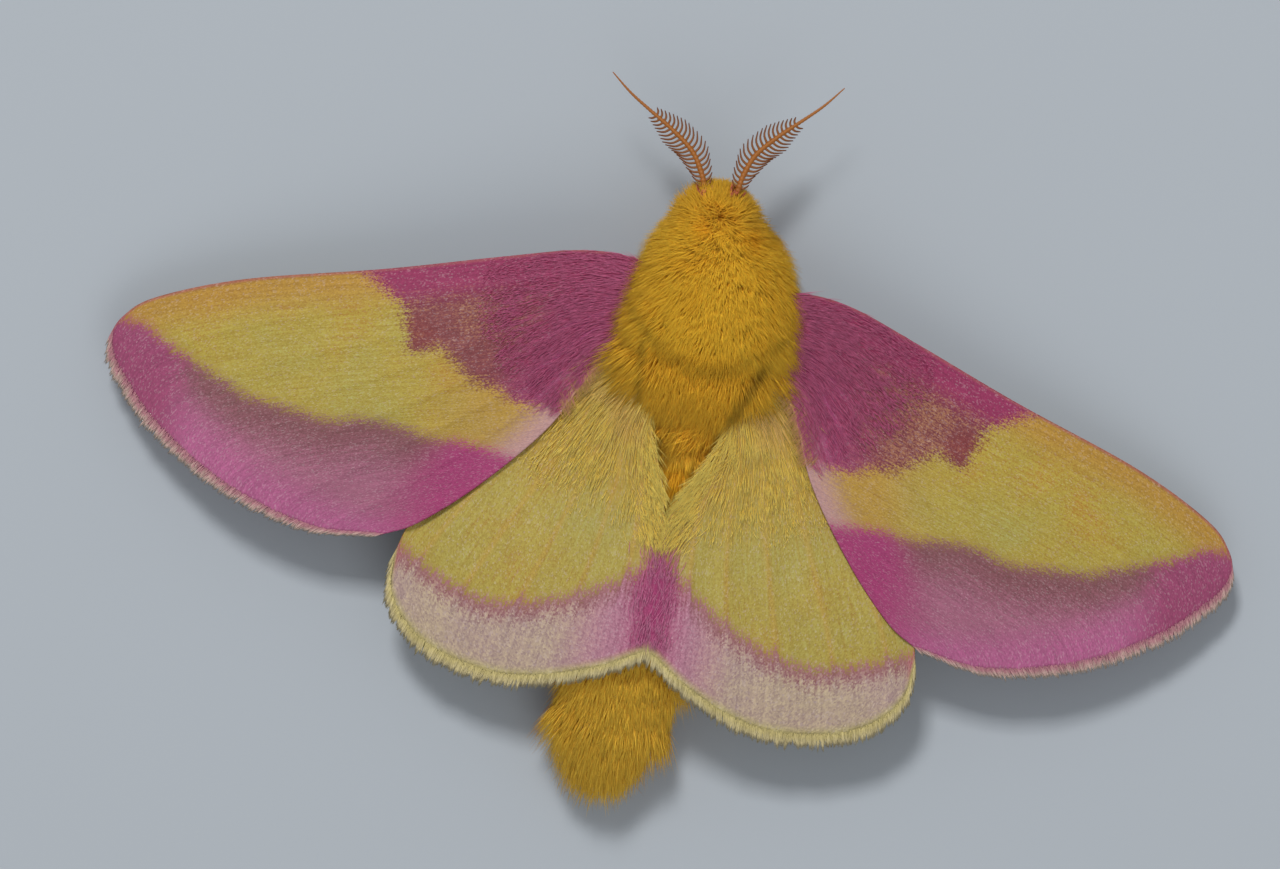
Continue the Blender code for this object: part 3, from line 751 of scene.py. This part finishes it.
def hair_finish(name, root=None, tip=None, variety=0.5, patches=None):
    """A soft hair finish from a colour at the root to another at the tip, by default those of the markings.
    The variety is how much lighter or darker one hair is than another. It may have cloudy patches of a
    third colour."""
    finish = Finish(name, 0.62, 0.2)
    if root is None:
        marked = finish.group(markings.tree)
        root, tip = marked["Root"], marked["Tip"]
    colour = finish.blend(finish.step(finish.attribute("reach"), 0.0, 0.8), root, tip)
    if patches:
        clouds = finish.noise(finish.place(), 260.0)
        colour = finish.blend(finish.step(clouds, 0.0, 0.16, 0.7), colour, patches)
    tint = finish.maths("MULTIPLY_ADD", finish.attribute("tint"), variety, 1.0 - variety / 2)
    finish.colour(finish.scaled(colour, tint))
    return finish


def lie(surface, share, angle):
    """A surface's points there, their outward normals, the way along it, and the millimetres in a share and
    in a radian."""
    before, after = np.maximum(share - SHARE_STEP, 0), np.minimum(share + SHARE_STEP, 1)
    along = (surface(after, angle) - surface(before, angle)) / (after - before)[:, None]
    round_it = (surface(share, angle + ANGLE_STEP) - surface(share, angle - ANGLE_STEP)) / (2 * ANGLE_STEP)
    outward = unit(np.cross(along, round_it))
    stretch, girth = np.linalg.norm(along, axis=1), np.linalg.norm(round_it, axis=1)
    return surface(share, angle), outward, unit(along), stretch, girth


def over_wings(points, above):
    """Keeps the hair of the upper side clear above the wings, and that of the underside clear below them."""
    out, back, height = np.abs(points[:, 0]), points[:, 1], points[:, 2]
    on_fore = (out > 1.9) & (back > -0.9) & (back < INNER_BACK + FORE_LINE * (out - INNER_OUT))
    on_hind = (out > np.interp(back, OPENING_BACK, OPENING_HALF) - 0.05) & (back > 1.5) & (back < 15)
    surface = tent(out, back) + np.where(on_fore, above_hindwing(out, back), 0.0)
    over = np.where(above, np.maximum(height, surface + 0.08), np.minimum(height, surface - 0.12))
    points[:, 2] = np.where(on_fore | on_hind, over, height)


def lean(run, outward, rise):
    """The way a hair points that runs in this direction over a surface and rises from it by this angle."""
    flat = unit(run - (run * outward).sum(1)[:, None] * outward)
    return flat * np.cos(rise)[:, None] + outward * np.sin(rise)[:, None]


def coat(name, seed, surface, growth, finish, slot, locks, per_lock, shares, angles, half_width, spread,
         depth=0.1, ruffle=0.13, ridge=FULL):
    """Hairs in locks on a surface, scattered evenly by area. growth(here, outward, along) gives the way they
    run, how long they are, how steeply they rise, and which of them grow at all. The ruffle is how much the
    ways differ. A hair rises steeply for half its length and flatter for the other half, and then its tip is
    drawn part of the way to that of its lock."""
    draw = np.random.default_rng(seed)
    share = draw.uniform(*shares, locks * 4)
    angle = np.radians(draw.uniform(*angles, locks * 4))
    _, _, _, stretch, girth = lie(surface, share, angle)
    kept = draw.choice(locks * 4, locks, replace=False, p=stretch * girth / (stretch * girth).sum())
    share, angle, stretch, girth = share[kept], angle[kept], stretch[kept], girth[kept]
    here, outward, along, _, _ = lie(surface, share, angle)
    run, length, rise, _ = growth(here, outward, along)
    length = length * draw.uniform(0.88, 1.12, locks)
    rise = rise * draw.uniform(0.8, 1.2, locks)
    lock_tip = here + length[:, None] * lean(run + draw.normal(0, ruffle, (locks, 3)), outward, rise * 0.7)
    lock_tone = draw.uniform(0, 1, locks)

    lock = np.repeat(np.arange(locks), per_lock)
    total = len(lock)
    share = np.clip(share[lock] + draw.normal(0, spread, total) / stretch[lock], 0.001, 0.999)
    angle = angle[lock] + draw.normal(0, spread, total) / np.maximum(girth[lock], 0.2)
    root, outward, along, _, _ = lie(surface, share, angle)
    run, _, own_rise, grows = growth(root, outward, along)
    run = run + draw.normal(0, ruffle * 0.75, (total, 3))
    reach = (length[lock] * draw.uniform(0.75, 1.1, total))[:, None]
    rise = (rise[lock] + own_rise) / 2
    middle = root + lean(run, outward, np.minimum(rise * 1.35, 1.5)) * reach * 0.5
    own_tip = middle + lean(run, outward, rise * 0.55) * reach * 0.5
    together = draw.uniform(0.0, 0.45, total)[:, None]
    tip = own_tip * (1 - together) + (lock_tip[lock] + draw.normal(0, spread * 0.25, (total, 3))) * together
    above = root[:, 2] > tent(root[:, 0], root[:, 1]) - 0.1
    for points, lift in ((middle, 0.0), (tip, 0.15)):
        over_wings(points, above)
        raised = np.where(above, lift * draw.uniform(0, 1, total), 0.0)
        points[:, 2] = np.maximum(points[:, 2], 0.05) + raised
    tint = lock_tone[lock] * 0.35 + draw.uniform(0, 0.65, total)
    root_uv = np.stack([share, (angle / (2 * math.pi)) % 1.0], axis=-1) * (1 - BAKE_PATCH)
    width = half_width * draw.uniform(0.7, 1.2, total)
    parts = [part[grows] for part in (root - outward * depth, middle, tip, outward, width, root_uv, tint)]
    hairs(name, *parts, finish, slot, ridge)


def share_at(back):
    """The share along the trunk at which it is this far back."""
    shares = np.linspace(0, 1, 400)
    return float(np.interp(back, through(TRUNK, shares)[:, 0], shares))


def hump(value, middle, width):
    """1 in the middle, fading to 0 on both sides: e to minus the square of the distance over the width."""
    return np.exp(-(((value - middle) / width) ** 2))


def everywhere(here):
    """Every hair grows."""
    return np.ones(len(here), bool)


def even_growth(length, degrees):
    """Along the surface, everywhere of this length and rising by this angle."""

    def growth(here, outward, along):
        same = np.ones(len(here))
        return along, length * same, np.radians(degrees) * same, everywhere(here)

    return growth


def round_surface(path, radii):
    """A tube as a surface for hair."""
    return lambda share, angle: tube(path, radii, share, angle)


def ruffled(run, x, y):
    """Turns the hair in small whorls where the hair of the head parts from that of the thorax, so that the
    parting doesn't show. Gives how near each hair is to it."""
    near = hump(y, -3.1, 0.5) * hump(x, 0.2, 0.9)
    run[:, 0] += 1.2 * near * np.sin(9 * y + 5 * x + 1)
    run[:, 1] += 1.2 * near * np.cos(8 * x - 4 * y)
    return near


def thorax_growth(here, outward, along):
    """Backwards, and outwards over the shoulders, with a whorl behind the middle, cross creases, tufts at
    the sides that spread over the wing roots, and a long wedge between the hindwings. Short underneath."""
    x, y, z = here.T
    front = np.clip((-1.0 - y) / 1.6, 0, 1)
    flank = np.clip(np.abs(x) / 1.4, 0, 1)
    run = np.stack([x * (0.16 + 0.45 * front), 1.0 - 0.6 * front * flank, 0 * z - 0.1], axis=-1)
    from_whorl = np.stack([x + 0.3, y - 4.6, 0 * z], axis=-1)
    near = np.exp(-(from_whorl**2).sum(1) / 2.2)
    run += 0.9 * near[:, None] * unit(np.stack([-from_whorl[:, 1], from_whorl[:, 0], 0 * z], axis=-1))
    run[:, 0] += 0.35 * np.sin(1.6 * x + 1.3 * y) * hump(y, 3.0, 2.5)
    tuft = np.clip((np.abs(x) - 1.4) / 0.8, 0, 1) * hump(y, 2.4, 1.3) * np.clip((z - 2.2) / 0.8, 0, 1)
    shoulder = np.clip((np.abs(x) - 1.3) / 1.0, 0, 1) * hump(y, 0.4, 2.2) * np.clip((z - 2.2) / 0.8, 0, 1)
    run[:, 0] += np.sign(x) * (0.8 * tuft + 0.5 * shoulder)
    slanting = hump(x + GAP_START - GAP_SLOPE * y, 0.0, 0.25) * hump(y, 3.0, 1.3)
    creases = 0.35 * hump(y + 0.2 * x * x, 2.3, 0.3) + 0.3 * hump(y, 3.9, 0.3) + 0.5 * slanting
    under = np.clip((2.2 - z) / 0.8, 0, 1)
    wedge = np.clip((y - 3.6) / 1.2, 0, 1) * hump(x, 0.0, 1.0)
    parting = ruffled(run, x, y)
    length = 0.95 + 0.1 * np.clip(y, 0, 5) + 0.12 * front + 1.3 * (tuft + wedge) + 0.55 * shoulder
    length += 0.2 * parting
    length *= (1 - creases) * (1 - 0.6 * under)
    rise = 54 + front * (20 * flank - 20) - 8 * np.clip(y - 2, 0, 3) - 6 * wedge - 9 * hump(y, -0.9, 1.4)
    rise -= 10 * parting
    return run, length, np.radians(rise) * (1 - 0.5 * under), everywhere(here)


def abdomen_growth(here, outward, along):
    """Backwards, steep in the opening between the hindwings, with side tufts at the segments' edges, bushier
    towards the end and short underneath."""
    x, y, z = here.T
    under = np.clip((1.5 - z) / 0.6, 0, 1)
    end = np.clip((y - 11.5) / 5, 0, 1)
    side = np.abs(outward[:, 0])
    segment = hump((y - 4.4) % 1.9, 1.5, 0.35)
    opening = hump(x, 0.0, 0.9) * np.clip((9.6 - y) / 1.5, 0, 1) * (z > 2.5)
    aslant = (0.2 + 0.45 * segment) * outward[:, 0] + 0.1 * np.sin(2.1 * y + x)
    run = np.stack([aslant, 1 + 0 * y, 0 * z], axis=-1)
    length = (1.2 + 0.85 * end + 0.5 * segment * side + 0.2 * opening) * (1 - 0.55 * under)
    rise = np.radians(22 + 12 * end + 16 * side * segment + 22 * opening) * (1 - 0.4 * under)
    return run, length, rise, everywhere(here)


EYE_CENTRE, EYE_RADII = (0.96, -3.5, 2.75), (0.38, 0.55, 0.58)


def head_growth(here, outward, along):
    """Forwards over the crown and the brow, backwards where it meets the thorax, outwards over the eyes, and
    none on them."""
    x, y, z = here.T
    x = x + y * math.tan(HEAD_TURN)
    run = np.stack([1.2 * x, np.clip((y + 3.1) * 2.0, -0.8, 0.4), 0.1 + 0 * z], axis=-1)
    parting = ruffled(run, x, y)
    length = 0.72 + 0.3 * np.clip((y + 3.9) / 0.9, 0, 1) + 0.25 * parting
    rise = np.radians(42 + 12 * np.clip(np.abs(x) / 0.9, 0, 1) - 16 * parting)
    from_eye = ((y - EYE_CENTRE[1]) / EYE_RADII[1]) ** 2 + ((z - EYE_CENTRE[2]) / EYE_RADII[2]) ** 2
    return run, length, rise, (from_eye > 0.9) | (np.abs(x) < 0.5)


coat_finish = hair_finish("coat")
coat_finish.shader.inputs["Sheen Weight"].default_value = 0.4
coat_finish.shader.inputs["Sheen Tint"].default_value = paint(255, 200, 90)
for number in range(4):
    coat(f"thorax_coat_{number + 1}", 20 + number, trunk, thorax_growth, coat_finish, "thorax_coat",
         1820, 10, (share_at(-3.1), share_at(5.2)), ROUND, HAIR * 0.8, 0.17, ruffle=0.34, ridge=SOFT)
for number in range(2):
    coat(f"abdomen_coat_{number + 1}", 40 + number, trunk, abdomen_growth, coat_finish, "abdomen_coat",
         2100, 10, (share_at(4.6), 0.995), ROUND, HAIR * 0.9, 0.16, ruffle=0.22, ridge=SOFT)
coat("head_coat", 60, trunk, head_growth, coat_finish, "head_coat",
     1350, 10, (0.02, share_at(-2.7)), ROUND, HAIR * 0.85, 0.13, ruffle=0.28, ridge=SOFT)

# The legs' coat: short rosy hair, longest on the thigh. It grows out of the skin and lies close along each
# leg down to the claws.
leg_hair = hair_finish("leg_hair", paint(150, 56, 74), paint(206, 108, 112))


def leg_growth(here, outward, along):
    """Close along the leg, longest on the thigh."""
    thigh = np.clip((here[:, 2] - 0.3) / 1.2, 0, 1)
    return along, 0.34 + 0.40 * thigh, np.radians(15 + 5 * thigh), everywhere(here)


for side_name in SIDES:
    for number, place in enumerate(LEGS):
        limb_surface = round_surface(leg_path(place, side_name), LEG_RADII)
        coat(f"leg_coat_{place}_{side_name}", 70 + number, limb_surface, leg_growth, leg_hair, "leg",
             170, 10, (0.15, 0.98), ROUND, HAIR * 0.9, 0.12, 0.04)

# The hair of the wings: long pale hair over the base of the hindwing and along its inner margin, rosy hair
# over the base of the forewing, and a short fringe along each outer margin.
hind_patches = paint(248, 194, 128)
hind_hair = hair_finish("hindwing_hair", paint(255, 212, 84), paint(255, 230, 118), 0.15, hind_patches)
fore_hair = hair_finish("forewing_hair", paint(184, 66, 108), paint(212, 112, 150), 0.25)
edge_hair = hair_finish("forewing_edge_hair", paint(196, 96, 130), paint(220, 176, 104), 0.3)
pink_hair = hair_finish("inner_corner_hair", paint(212, 96, 148), paint(228, 144, 178), 0.15)
hind_fringe = hair_finish("hindwing_fringe", paint(216, 198, 134), paint(206, 190, 148), 0.3)
fore_fringe = hair_finish("forewing_fringe", paint(190, 128, 138), paint(208, 186, 168), 0.3)


def wing_surface(kind, side_name):
    """A wing as a surface for hair: the share runs out from its root, and the angle across it, so that its
    normal points up on both sides."""
    plan = WINGS[kind]

    def surface(share, angle):
        across = np.clip(angle / (2 * math.pi), 0, 1)
        across = across if side_name == "left" else 1 - across
        return on_wing(plan, side_name, patch(plan, share, across), 0.03)

    return surface


def across_wing(side_name, first, last):
    """The degrees round a wing surface between two shares across it, counted from its leading margin."""
    return (360 * first, 360 * last) if side_name == "left" else (360 * (1 - last), 360 * (1 - first))


def base_growth(length, reach):
    """Out along the wing, shorter and shorter up to this distance from the middle of the thorax."""

    def growth(here, outward, along):
        near = np.clip(1 - (np.hypot(here[:, 0], here[:, 1] - 1) - 2) / (reach - 2), 0, 1)
        return along, 0.12 + length * near, np.radians(3 + 4 * near), near > 0

    return growth


def margin_growth(first, last, inwards, length):
    """Along the inner margin and towards the midline or beyond, between these distances back."""

    def growth(here, outward, along):
        x, y, _ = here.T
        side = np.stack([-inwards * np.sign(x), 0.3 * inwards + 0 * x, 0 * x], axis=-1)
        return along + side, length + 0 * x, np.radians(4) + 0 * x, (y > first) & (y < last)

    return growth


def fringe(kind, side_name, finish, tufts, per_tuft, length):
    """Pointed tufts of hair along the outer margin, evenly spaced, each drawn together towards its tip."""
    draw = np.random.default_rng(len(kind))
    surface = wing_surface(kind, side_name)
    tuft = np.repeat(np.arange(tufts), per_tuft)
    middle_of_tuft = (np.arange(tufts) + draw.uniform(0.2, 0.8, tufts)) / tufts
    tuft_reach = length * draw.uniform(0.85, 1.1, tufts)
    across = np.clip(middle_of_tuft[tuft] + draw.normal(0, 0.55 / tufts, len(tuft)), 0.002, 0.998)
    share = draw.uniform(0.983, 0.995, len(tuft))
    root, outward, along, _, _ = lie(surface, share, 2 * math.pi * across)
    root = root + outward * 0.045
    centre, _, ahead, _, _ = lie(surface, np.full(tufts, 0.995), 2 * math.pi * middle_of_tuft)
    tuft_tip = centre + (ahead + draw.normal(0, 0.12, (tufts, 3))) * tuft_reach[:, None]
    together = draw.uniform(0.35, 0.85, len(tuft))[:, None]
    own_tip = root + along * (tuft_reach[tuft] * draw.uniform(0.6, 1.0, len(tuft)))[:, None]
    tip = own_tip * (1 - together) + tuft_tip[tuft] * together - [0.0, 0.0, 0.02]
    middle = (root + tip) / 2 + outward * 0.03
    root_uv = np.stack([share, across], axis=-1) * (1 - BAKE_PATCH)
    width = HAIR * 0.75 * draw.uniform(0.7, 1.2, len(tuft))
    tint = draw.uniform(0, 1, len(tuft))
    hairs(f"{kind}_fringe_{side_name}", root, middle, tip, outward, width, root_uv, tint, finish, kind, FLAT)


for side_name in SIDES:
    hind_surface, fore_surface = wing_surface("hindwing", side_name), wing_surface("forewing", side_name)
    coat(f"hindwing_hair_{side_name}", 81, hind_surface, base_growth(1.9, 8.5), hind_hair, "hindwing",
         170, 8, (0.03, 0.5), across_wing(side_name, 0.05, 1.0), HAIR * 0.45, 0.26, 0.0, 0.13, FLAT)
    coat(f"hindwing_margin_{side_name}", 82, hind_surface, margin_growth(3.0, 8.9, 0.5, 0.8), hind_hair,
         "hindwing", 190, 8, (0.05, 0.80), across_wing(side_name, 0.89, 1.0),
         HAIR * 0.45, 0.26, 0.0, 0.2, FLAT)
    coat(f"hindwing_corner_{side_name}", 86, hind_surface, margin_growth(9.0, 12.6, 0.1, 0.6), pink_hair,
         "hindwing", 45, 8, (0.5, 0.98), across_wing(side_name, 0.93, 1.0),
         HAIR * 0.45, 0.30, 0.0, 0.3, FLAT)
    coat(f"forewing_hair_{side_name}", 84, fore_surface, base_growth(1.0, 8.5), fore_hair, "forewing",
         600, 9, (0.03, 0.36), across_wing(side_name, 0.0, 0.98), HAIR * 0.45, 0.20, 0.0, 0.13, FLAT)
    coat(f"forewing_edge_{side_name}", 87, fore_surface, margin_growth(1.0, 6.0, 1.3, 0.55), edge_hair,
         "forewing", 90, 8, (0.02, 0.34), across_wing(side_name, 0.93, 0.995),
         HAIR * 0.5, 0.16, 0.0, 0.25, FLAT)
    fringe("hindwing", side_name, hind_fringe, 130, 20, 0.5)
    fringe("forewing", side_name, fore_fringe, 190, 13, 0.38)

# The eyes: large dark domes at the sides of the head, each of many small facets under one clear glossy skin.
# They turn with the head, like the palps and the antennae.
EYE_GRID = (33, 48)
turn_cos, turn_sin = math.cos(HEAD_TURN), math.sin(HEAD_TURN)
turned = np.array([[turn_cos, turn_sin, 0], [-turn_sin, turn_cos, 0], [0, 0, 1]])
eye_finish = Finish("eye", 0.18)
facets = eye_finish.node("ShaderNodeTexVoronoi")
facets.inputs["Scale"].default_value = 22000.0
eye_finish.feed(facets.inputs["Vector"], eye_finish.place())
in_facet = eye_finish.step(facets.outputs["Distance"], 0.2, 0.7)
eye_finish.colour(eye_finish.blend(in_facet, paint(44, 26, 20), paint(12, 8, 8)))
eye_finish.bump(facets.outputs["Distance"], 0.01 * MM, 0.5)
eye_finish.shader.inputs["Coat Weight"].default_value = 0.5
# A point of the dome: the cosine of its rise times the cosine and the sine of its turn, and the rise's sine.
share, turn = around(*EYE_GRID)
rise = math.pi * (share - 0.5)
dome = np.stack([np.cos(rise) * np.cos(turn), np.cos(rise) * np.sin(turn), np.sin(rise)], axis=-1)
for side_name, side in SIDES.items():
    eye_points = (dome * EYE_RADII + np.array(EYE_CENTRE) * [side, 1, 1]) @ turned
    eye = new_piece(f"eye_{side_name}_faceted", eye_points, grid_faces(*EYE_GRID))
    close_ends(eye)
    eye.data.materials.append(eye_finish.material)
    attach(eye, "root")
    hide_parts(f"eye_{side_name}")

# The palps: two short feelers under the brow, which curve up in front of the mouth. They are covered in the
# same short rosy hair as the legs.
PALP = [(0.20, -3.6, 2.15), (0.22, -4.1, 1.95), (0.20, -4.4, 2.15)]
PALP_RADII, PALP_GRID = [0.15, 0.15, 0.06], (16, 12)
for side_name, side in SIDES.items():
    palp_path = (np.array(PALP) * [side, 1, 1]) @ turned
    palp_points = tube(palp_path, PALP_RADII, *around(*PALP_GRID))
    palp = new_piece(f"palp_{side_name}", palp_points, grid_faces(*PALP_GRID))
    close_ends(palp)
    palp.data.materials.append(leg_hair.material)
    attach(palp, "root")
    coat(f"palp_coat_{side_name}", 90, round_surface(palp_path, PALP_RADII), even_growth(0.26, 18), leg_hair,
         "head_coat", 40, 12, (0.1, 0.97), ROUND, HAIR * 0.8, 0.08, 0.03)

# The antennae: an orange-brown shaft of small joints, with two rows of fine dark rays that curve towards the
# tip and end well short of it, where the shaft runs on bare. A small rosy tuft stands round each root.
ANTENNA = [
    (0.42, -3.6, 3.7), (0.62, -4.3, 3.95), (0.8, -4.9, 4.0), (1.2, -5.65, 3.95),
    (2.0, -6.4, 3.8), (2.85, -7.05, 3.65), (3.6, -7.65, 3.55), (4.3, -8.35, 3.5),
]
SHAFT_RADII, SHAFT_GRID = [0.11, 0.105, 0.095, 0.085, 0.075, 0.06, 0.045, 0.02], (240, 10)
JOINTS, JOINT_DEPTH = 44, 0.10
RAY_COUNT, RAY_FROM, RAY_TO, RAY_LENGTH = 19, 0.13, 0.64, 0.77
RAY_RADII, RAY_GRID = [0.050, 0.042, 0.034, 0.018], (8, 6)
# The radii of the round surface that the tuft's hair grows on, from the antenna's root to its tip.
TUFT_RADII = [0.2, 0.2, 0.1, 0.1, 0.1, 0.1]
antenna_finish = Finish("antenna", 0.5, 0.4)
dark_end = antenna_finish.attribute("reach")
antenna_finish.colour(antenna_finish.blend(dark_end, paint(158, 94, 28), paint(104, 54, 14)))
tuft_hair = hair_finish("antenna_tuft", paint(170, 72, 60), paint(206, 108, 92))
for side_name, side in SIDES.items():
    # The shaft is a tube whose radius swells and shrinks as a sine of the share along it, once a joint.
    path = (np.array(ANTENNA) * [side, 1, 1]) @ turned
    share, angle = around(*SHAFT_GRID)
    shaft = tube(path, SHAFT_RADII, share, angle)
    spine = through(path, share)
    shaft = spine + (shaft - spine) * (1 + JOINT_DEPTH * np.sin(2 * math.pi * JOINTS * share))[..., None]
    points, faces, reach = [shaft.reshape(-1, 3)], [grid_faces(*SHAFT_GRID)], [np.zeros(share.size)]
    # A ray is a tapered tube from its foot over a knee to its end, longest in the middle of the feather.
    ray_shares = np.linspace(RAY_FROM, RAY_TO, RAY_COUNT)
    feet = through(path, ray_shares)
    forward = unit(through(path, ray_shares + 0.01) - feet)
    growing, shrinking = 0.55 + 3.0 * (ray_shares - RAY_FROM), 0.42 + 2.9 * (RAY_TO - ray_shares)
    fullness = np.clip(np.minimum(growing, shrinking), 0, 1)
    for edge in (1, -1):
        beside = unit(np.cross(forward, [0.0, 0.0, 1.0])) * edge
        for foot, ahead, aside, full in zip(feet, forward, beside, fullness):
            length = RAY_LENGTH * full
            knee = foot + (aside * 0.92 + ahead * 0.30) * length * 0.5
            end = knee + (aside * 0.62 + ahead * 0.80) * length * 0.5 - np.array([0.0, 0.0, 0.08])
            start = sum(len(part) for part in points)
            ray_share, ray_angle = around(*RAY_GRID)
            points.append(tube([foot, knee, end], RAY_RADII, ray_share, ray_angle).reshape(-1, 3))
            faces.append(grid_faces(*RAY_GRID) + start)
            reach.append((0.35 + 0.65 * ray_share).ravel())
    antenna = new_piece(f"antenna_{side_name}_feathered", np.concatenate(points), np.concatenate(faces))
    keep_values(antenna.data, "reach", np.concatenate(reach))
    close_ends(antenna)
    antenna.data.materials.append(antenna_finish.material)
    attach(antenna, "root")
    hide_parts(f"antenna_{side_name}")
    coat(f"antenna_tuft_{side_name}", 95, round_surface(path, TUFT_RADII), even_growth(0.28, 28), tuft_hair,
         "antenna", 16, 10, (0.06, 0.11), ROUND, HAIR * 0.7, 0.04, 0.05)

# The stage: a plain pale floor, a soft key light beyond the moth's head, a weak fill all round, and a camera
# that looks straight down with the head a little to the right of upwards.
FLOOR = 400
floor_corners = np.array([[-FLOOR, -FLOOR, 0], [FLOOR, -FLOOR, 0], [FLOOR, FLOOR, 0], [-FLOOR, FLOOR, 0]])
floor = new_piece("floor", floor_corners - MIDDLE, [(0, 1, 2, 3)])
floor_finish = Finish("floor", 0.8)
floor_finish.shader.inputs["Base Color"].default_value = paint(172, 178, 184)
floor.data.materials.append(floor_finish.material)

AIM = (np.array([1.65, 5.25, 3.5]) + MIDDLE) * MM
PICTURE_TURN = math.radians(12.0)
PICTURE_WIDTH, CAMERA_DISTANCE, SENSOR = 47.4 * MM, 250 * MM, 36.0
right = np.array([-math.cos(PICTURE_TURN), -math.sin(PICTURE_TURN), 0.0])
up = np.array([math.sin(PICTURE_TURN), -math.cos(PICTURE_TURN), 0.0])
above = np.array([0.0, 0.0, 1.0])


def pointed(name, data, place, upwards):
    """Adds a light or camera at a place, looking at the aim."""
    added = bpy.data.objects.new(name, data)
    away = unit(place - AIM)
    side = unit(np.cross(upwards, away))
    matrix = np.eye(4)
    matrix[:3] = np.stack([side, np.cross(away, side), away, place], axis=1)
    added.matrix_world = Matrix(matrix)
    bpy.context.scene.collection.objects.link(added)
    return added


camera_data = bpy.data.cameras.new("camera")
camera_data.sensor_width = SENSOR
camera_data.lens = SENSOR * CAMERA_DISTANCE / PICTURE_WIDTH
camera_data.clip_start, camera_data.clip_end = 0.001, 10.0
bpy.context.scene.camera = pointed("camera", camera_data, AIM + above * CAMERA_DISTANCE, up)

# Each light: how far it tilts from straight above towards the top of the picture, its size and its power.
LIGHTS = {"key": (34.0, 0.09, 1.2), "fill": (-38.0, 0.30, 0.38)}
LIGHT_DISTANCE = 0.45
for name, (tilt, size, power) in LIGHTS.items():
    light = bpy.data.lights.new(name, "AREA")
    light.size = size
    light.energy = power
    slant = math.radians(tilt)
    direction = unit(up - 0.25 * right) * math.sin(slant) + above * math.cos(slant)
    pointed(name, light, AIM + direction * LIGHT_DISTANCE, up)

world = bpy.data.worlds.new("studio")
world.use_nodes = True
world.node_tree.nodes["Background"].inputs["Color"].default_value = (0.92, 0.96, 1.0, 1.0)
world.node_tree.nodes["Background"].inputs["Strength"].default_value = 0.38
bpy.context.scene.world = world
bpy.context.scene.view_settings.view_transform = "Standard"
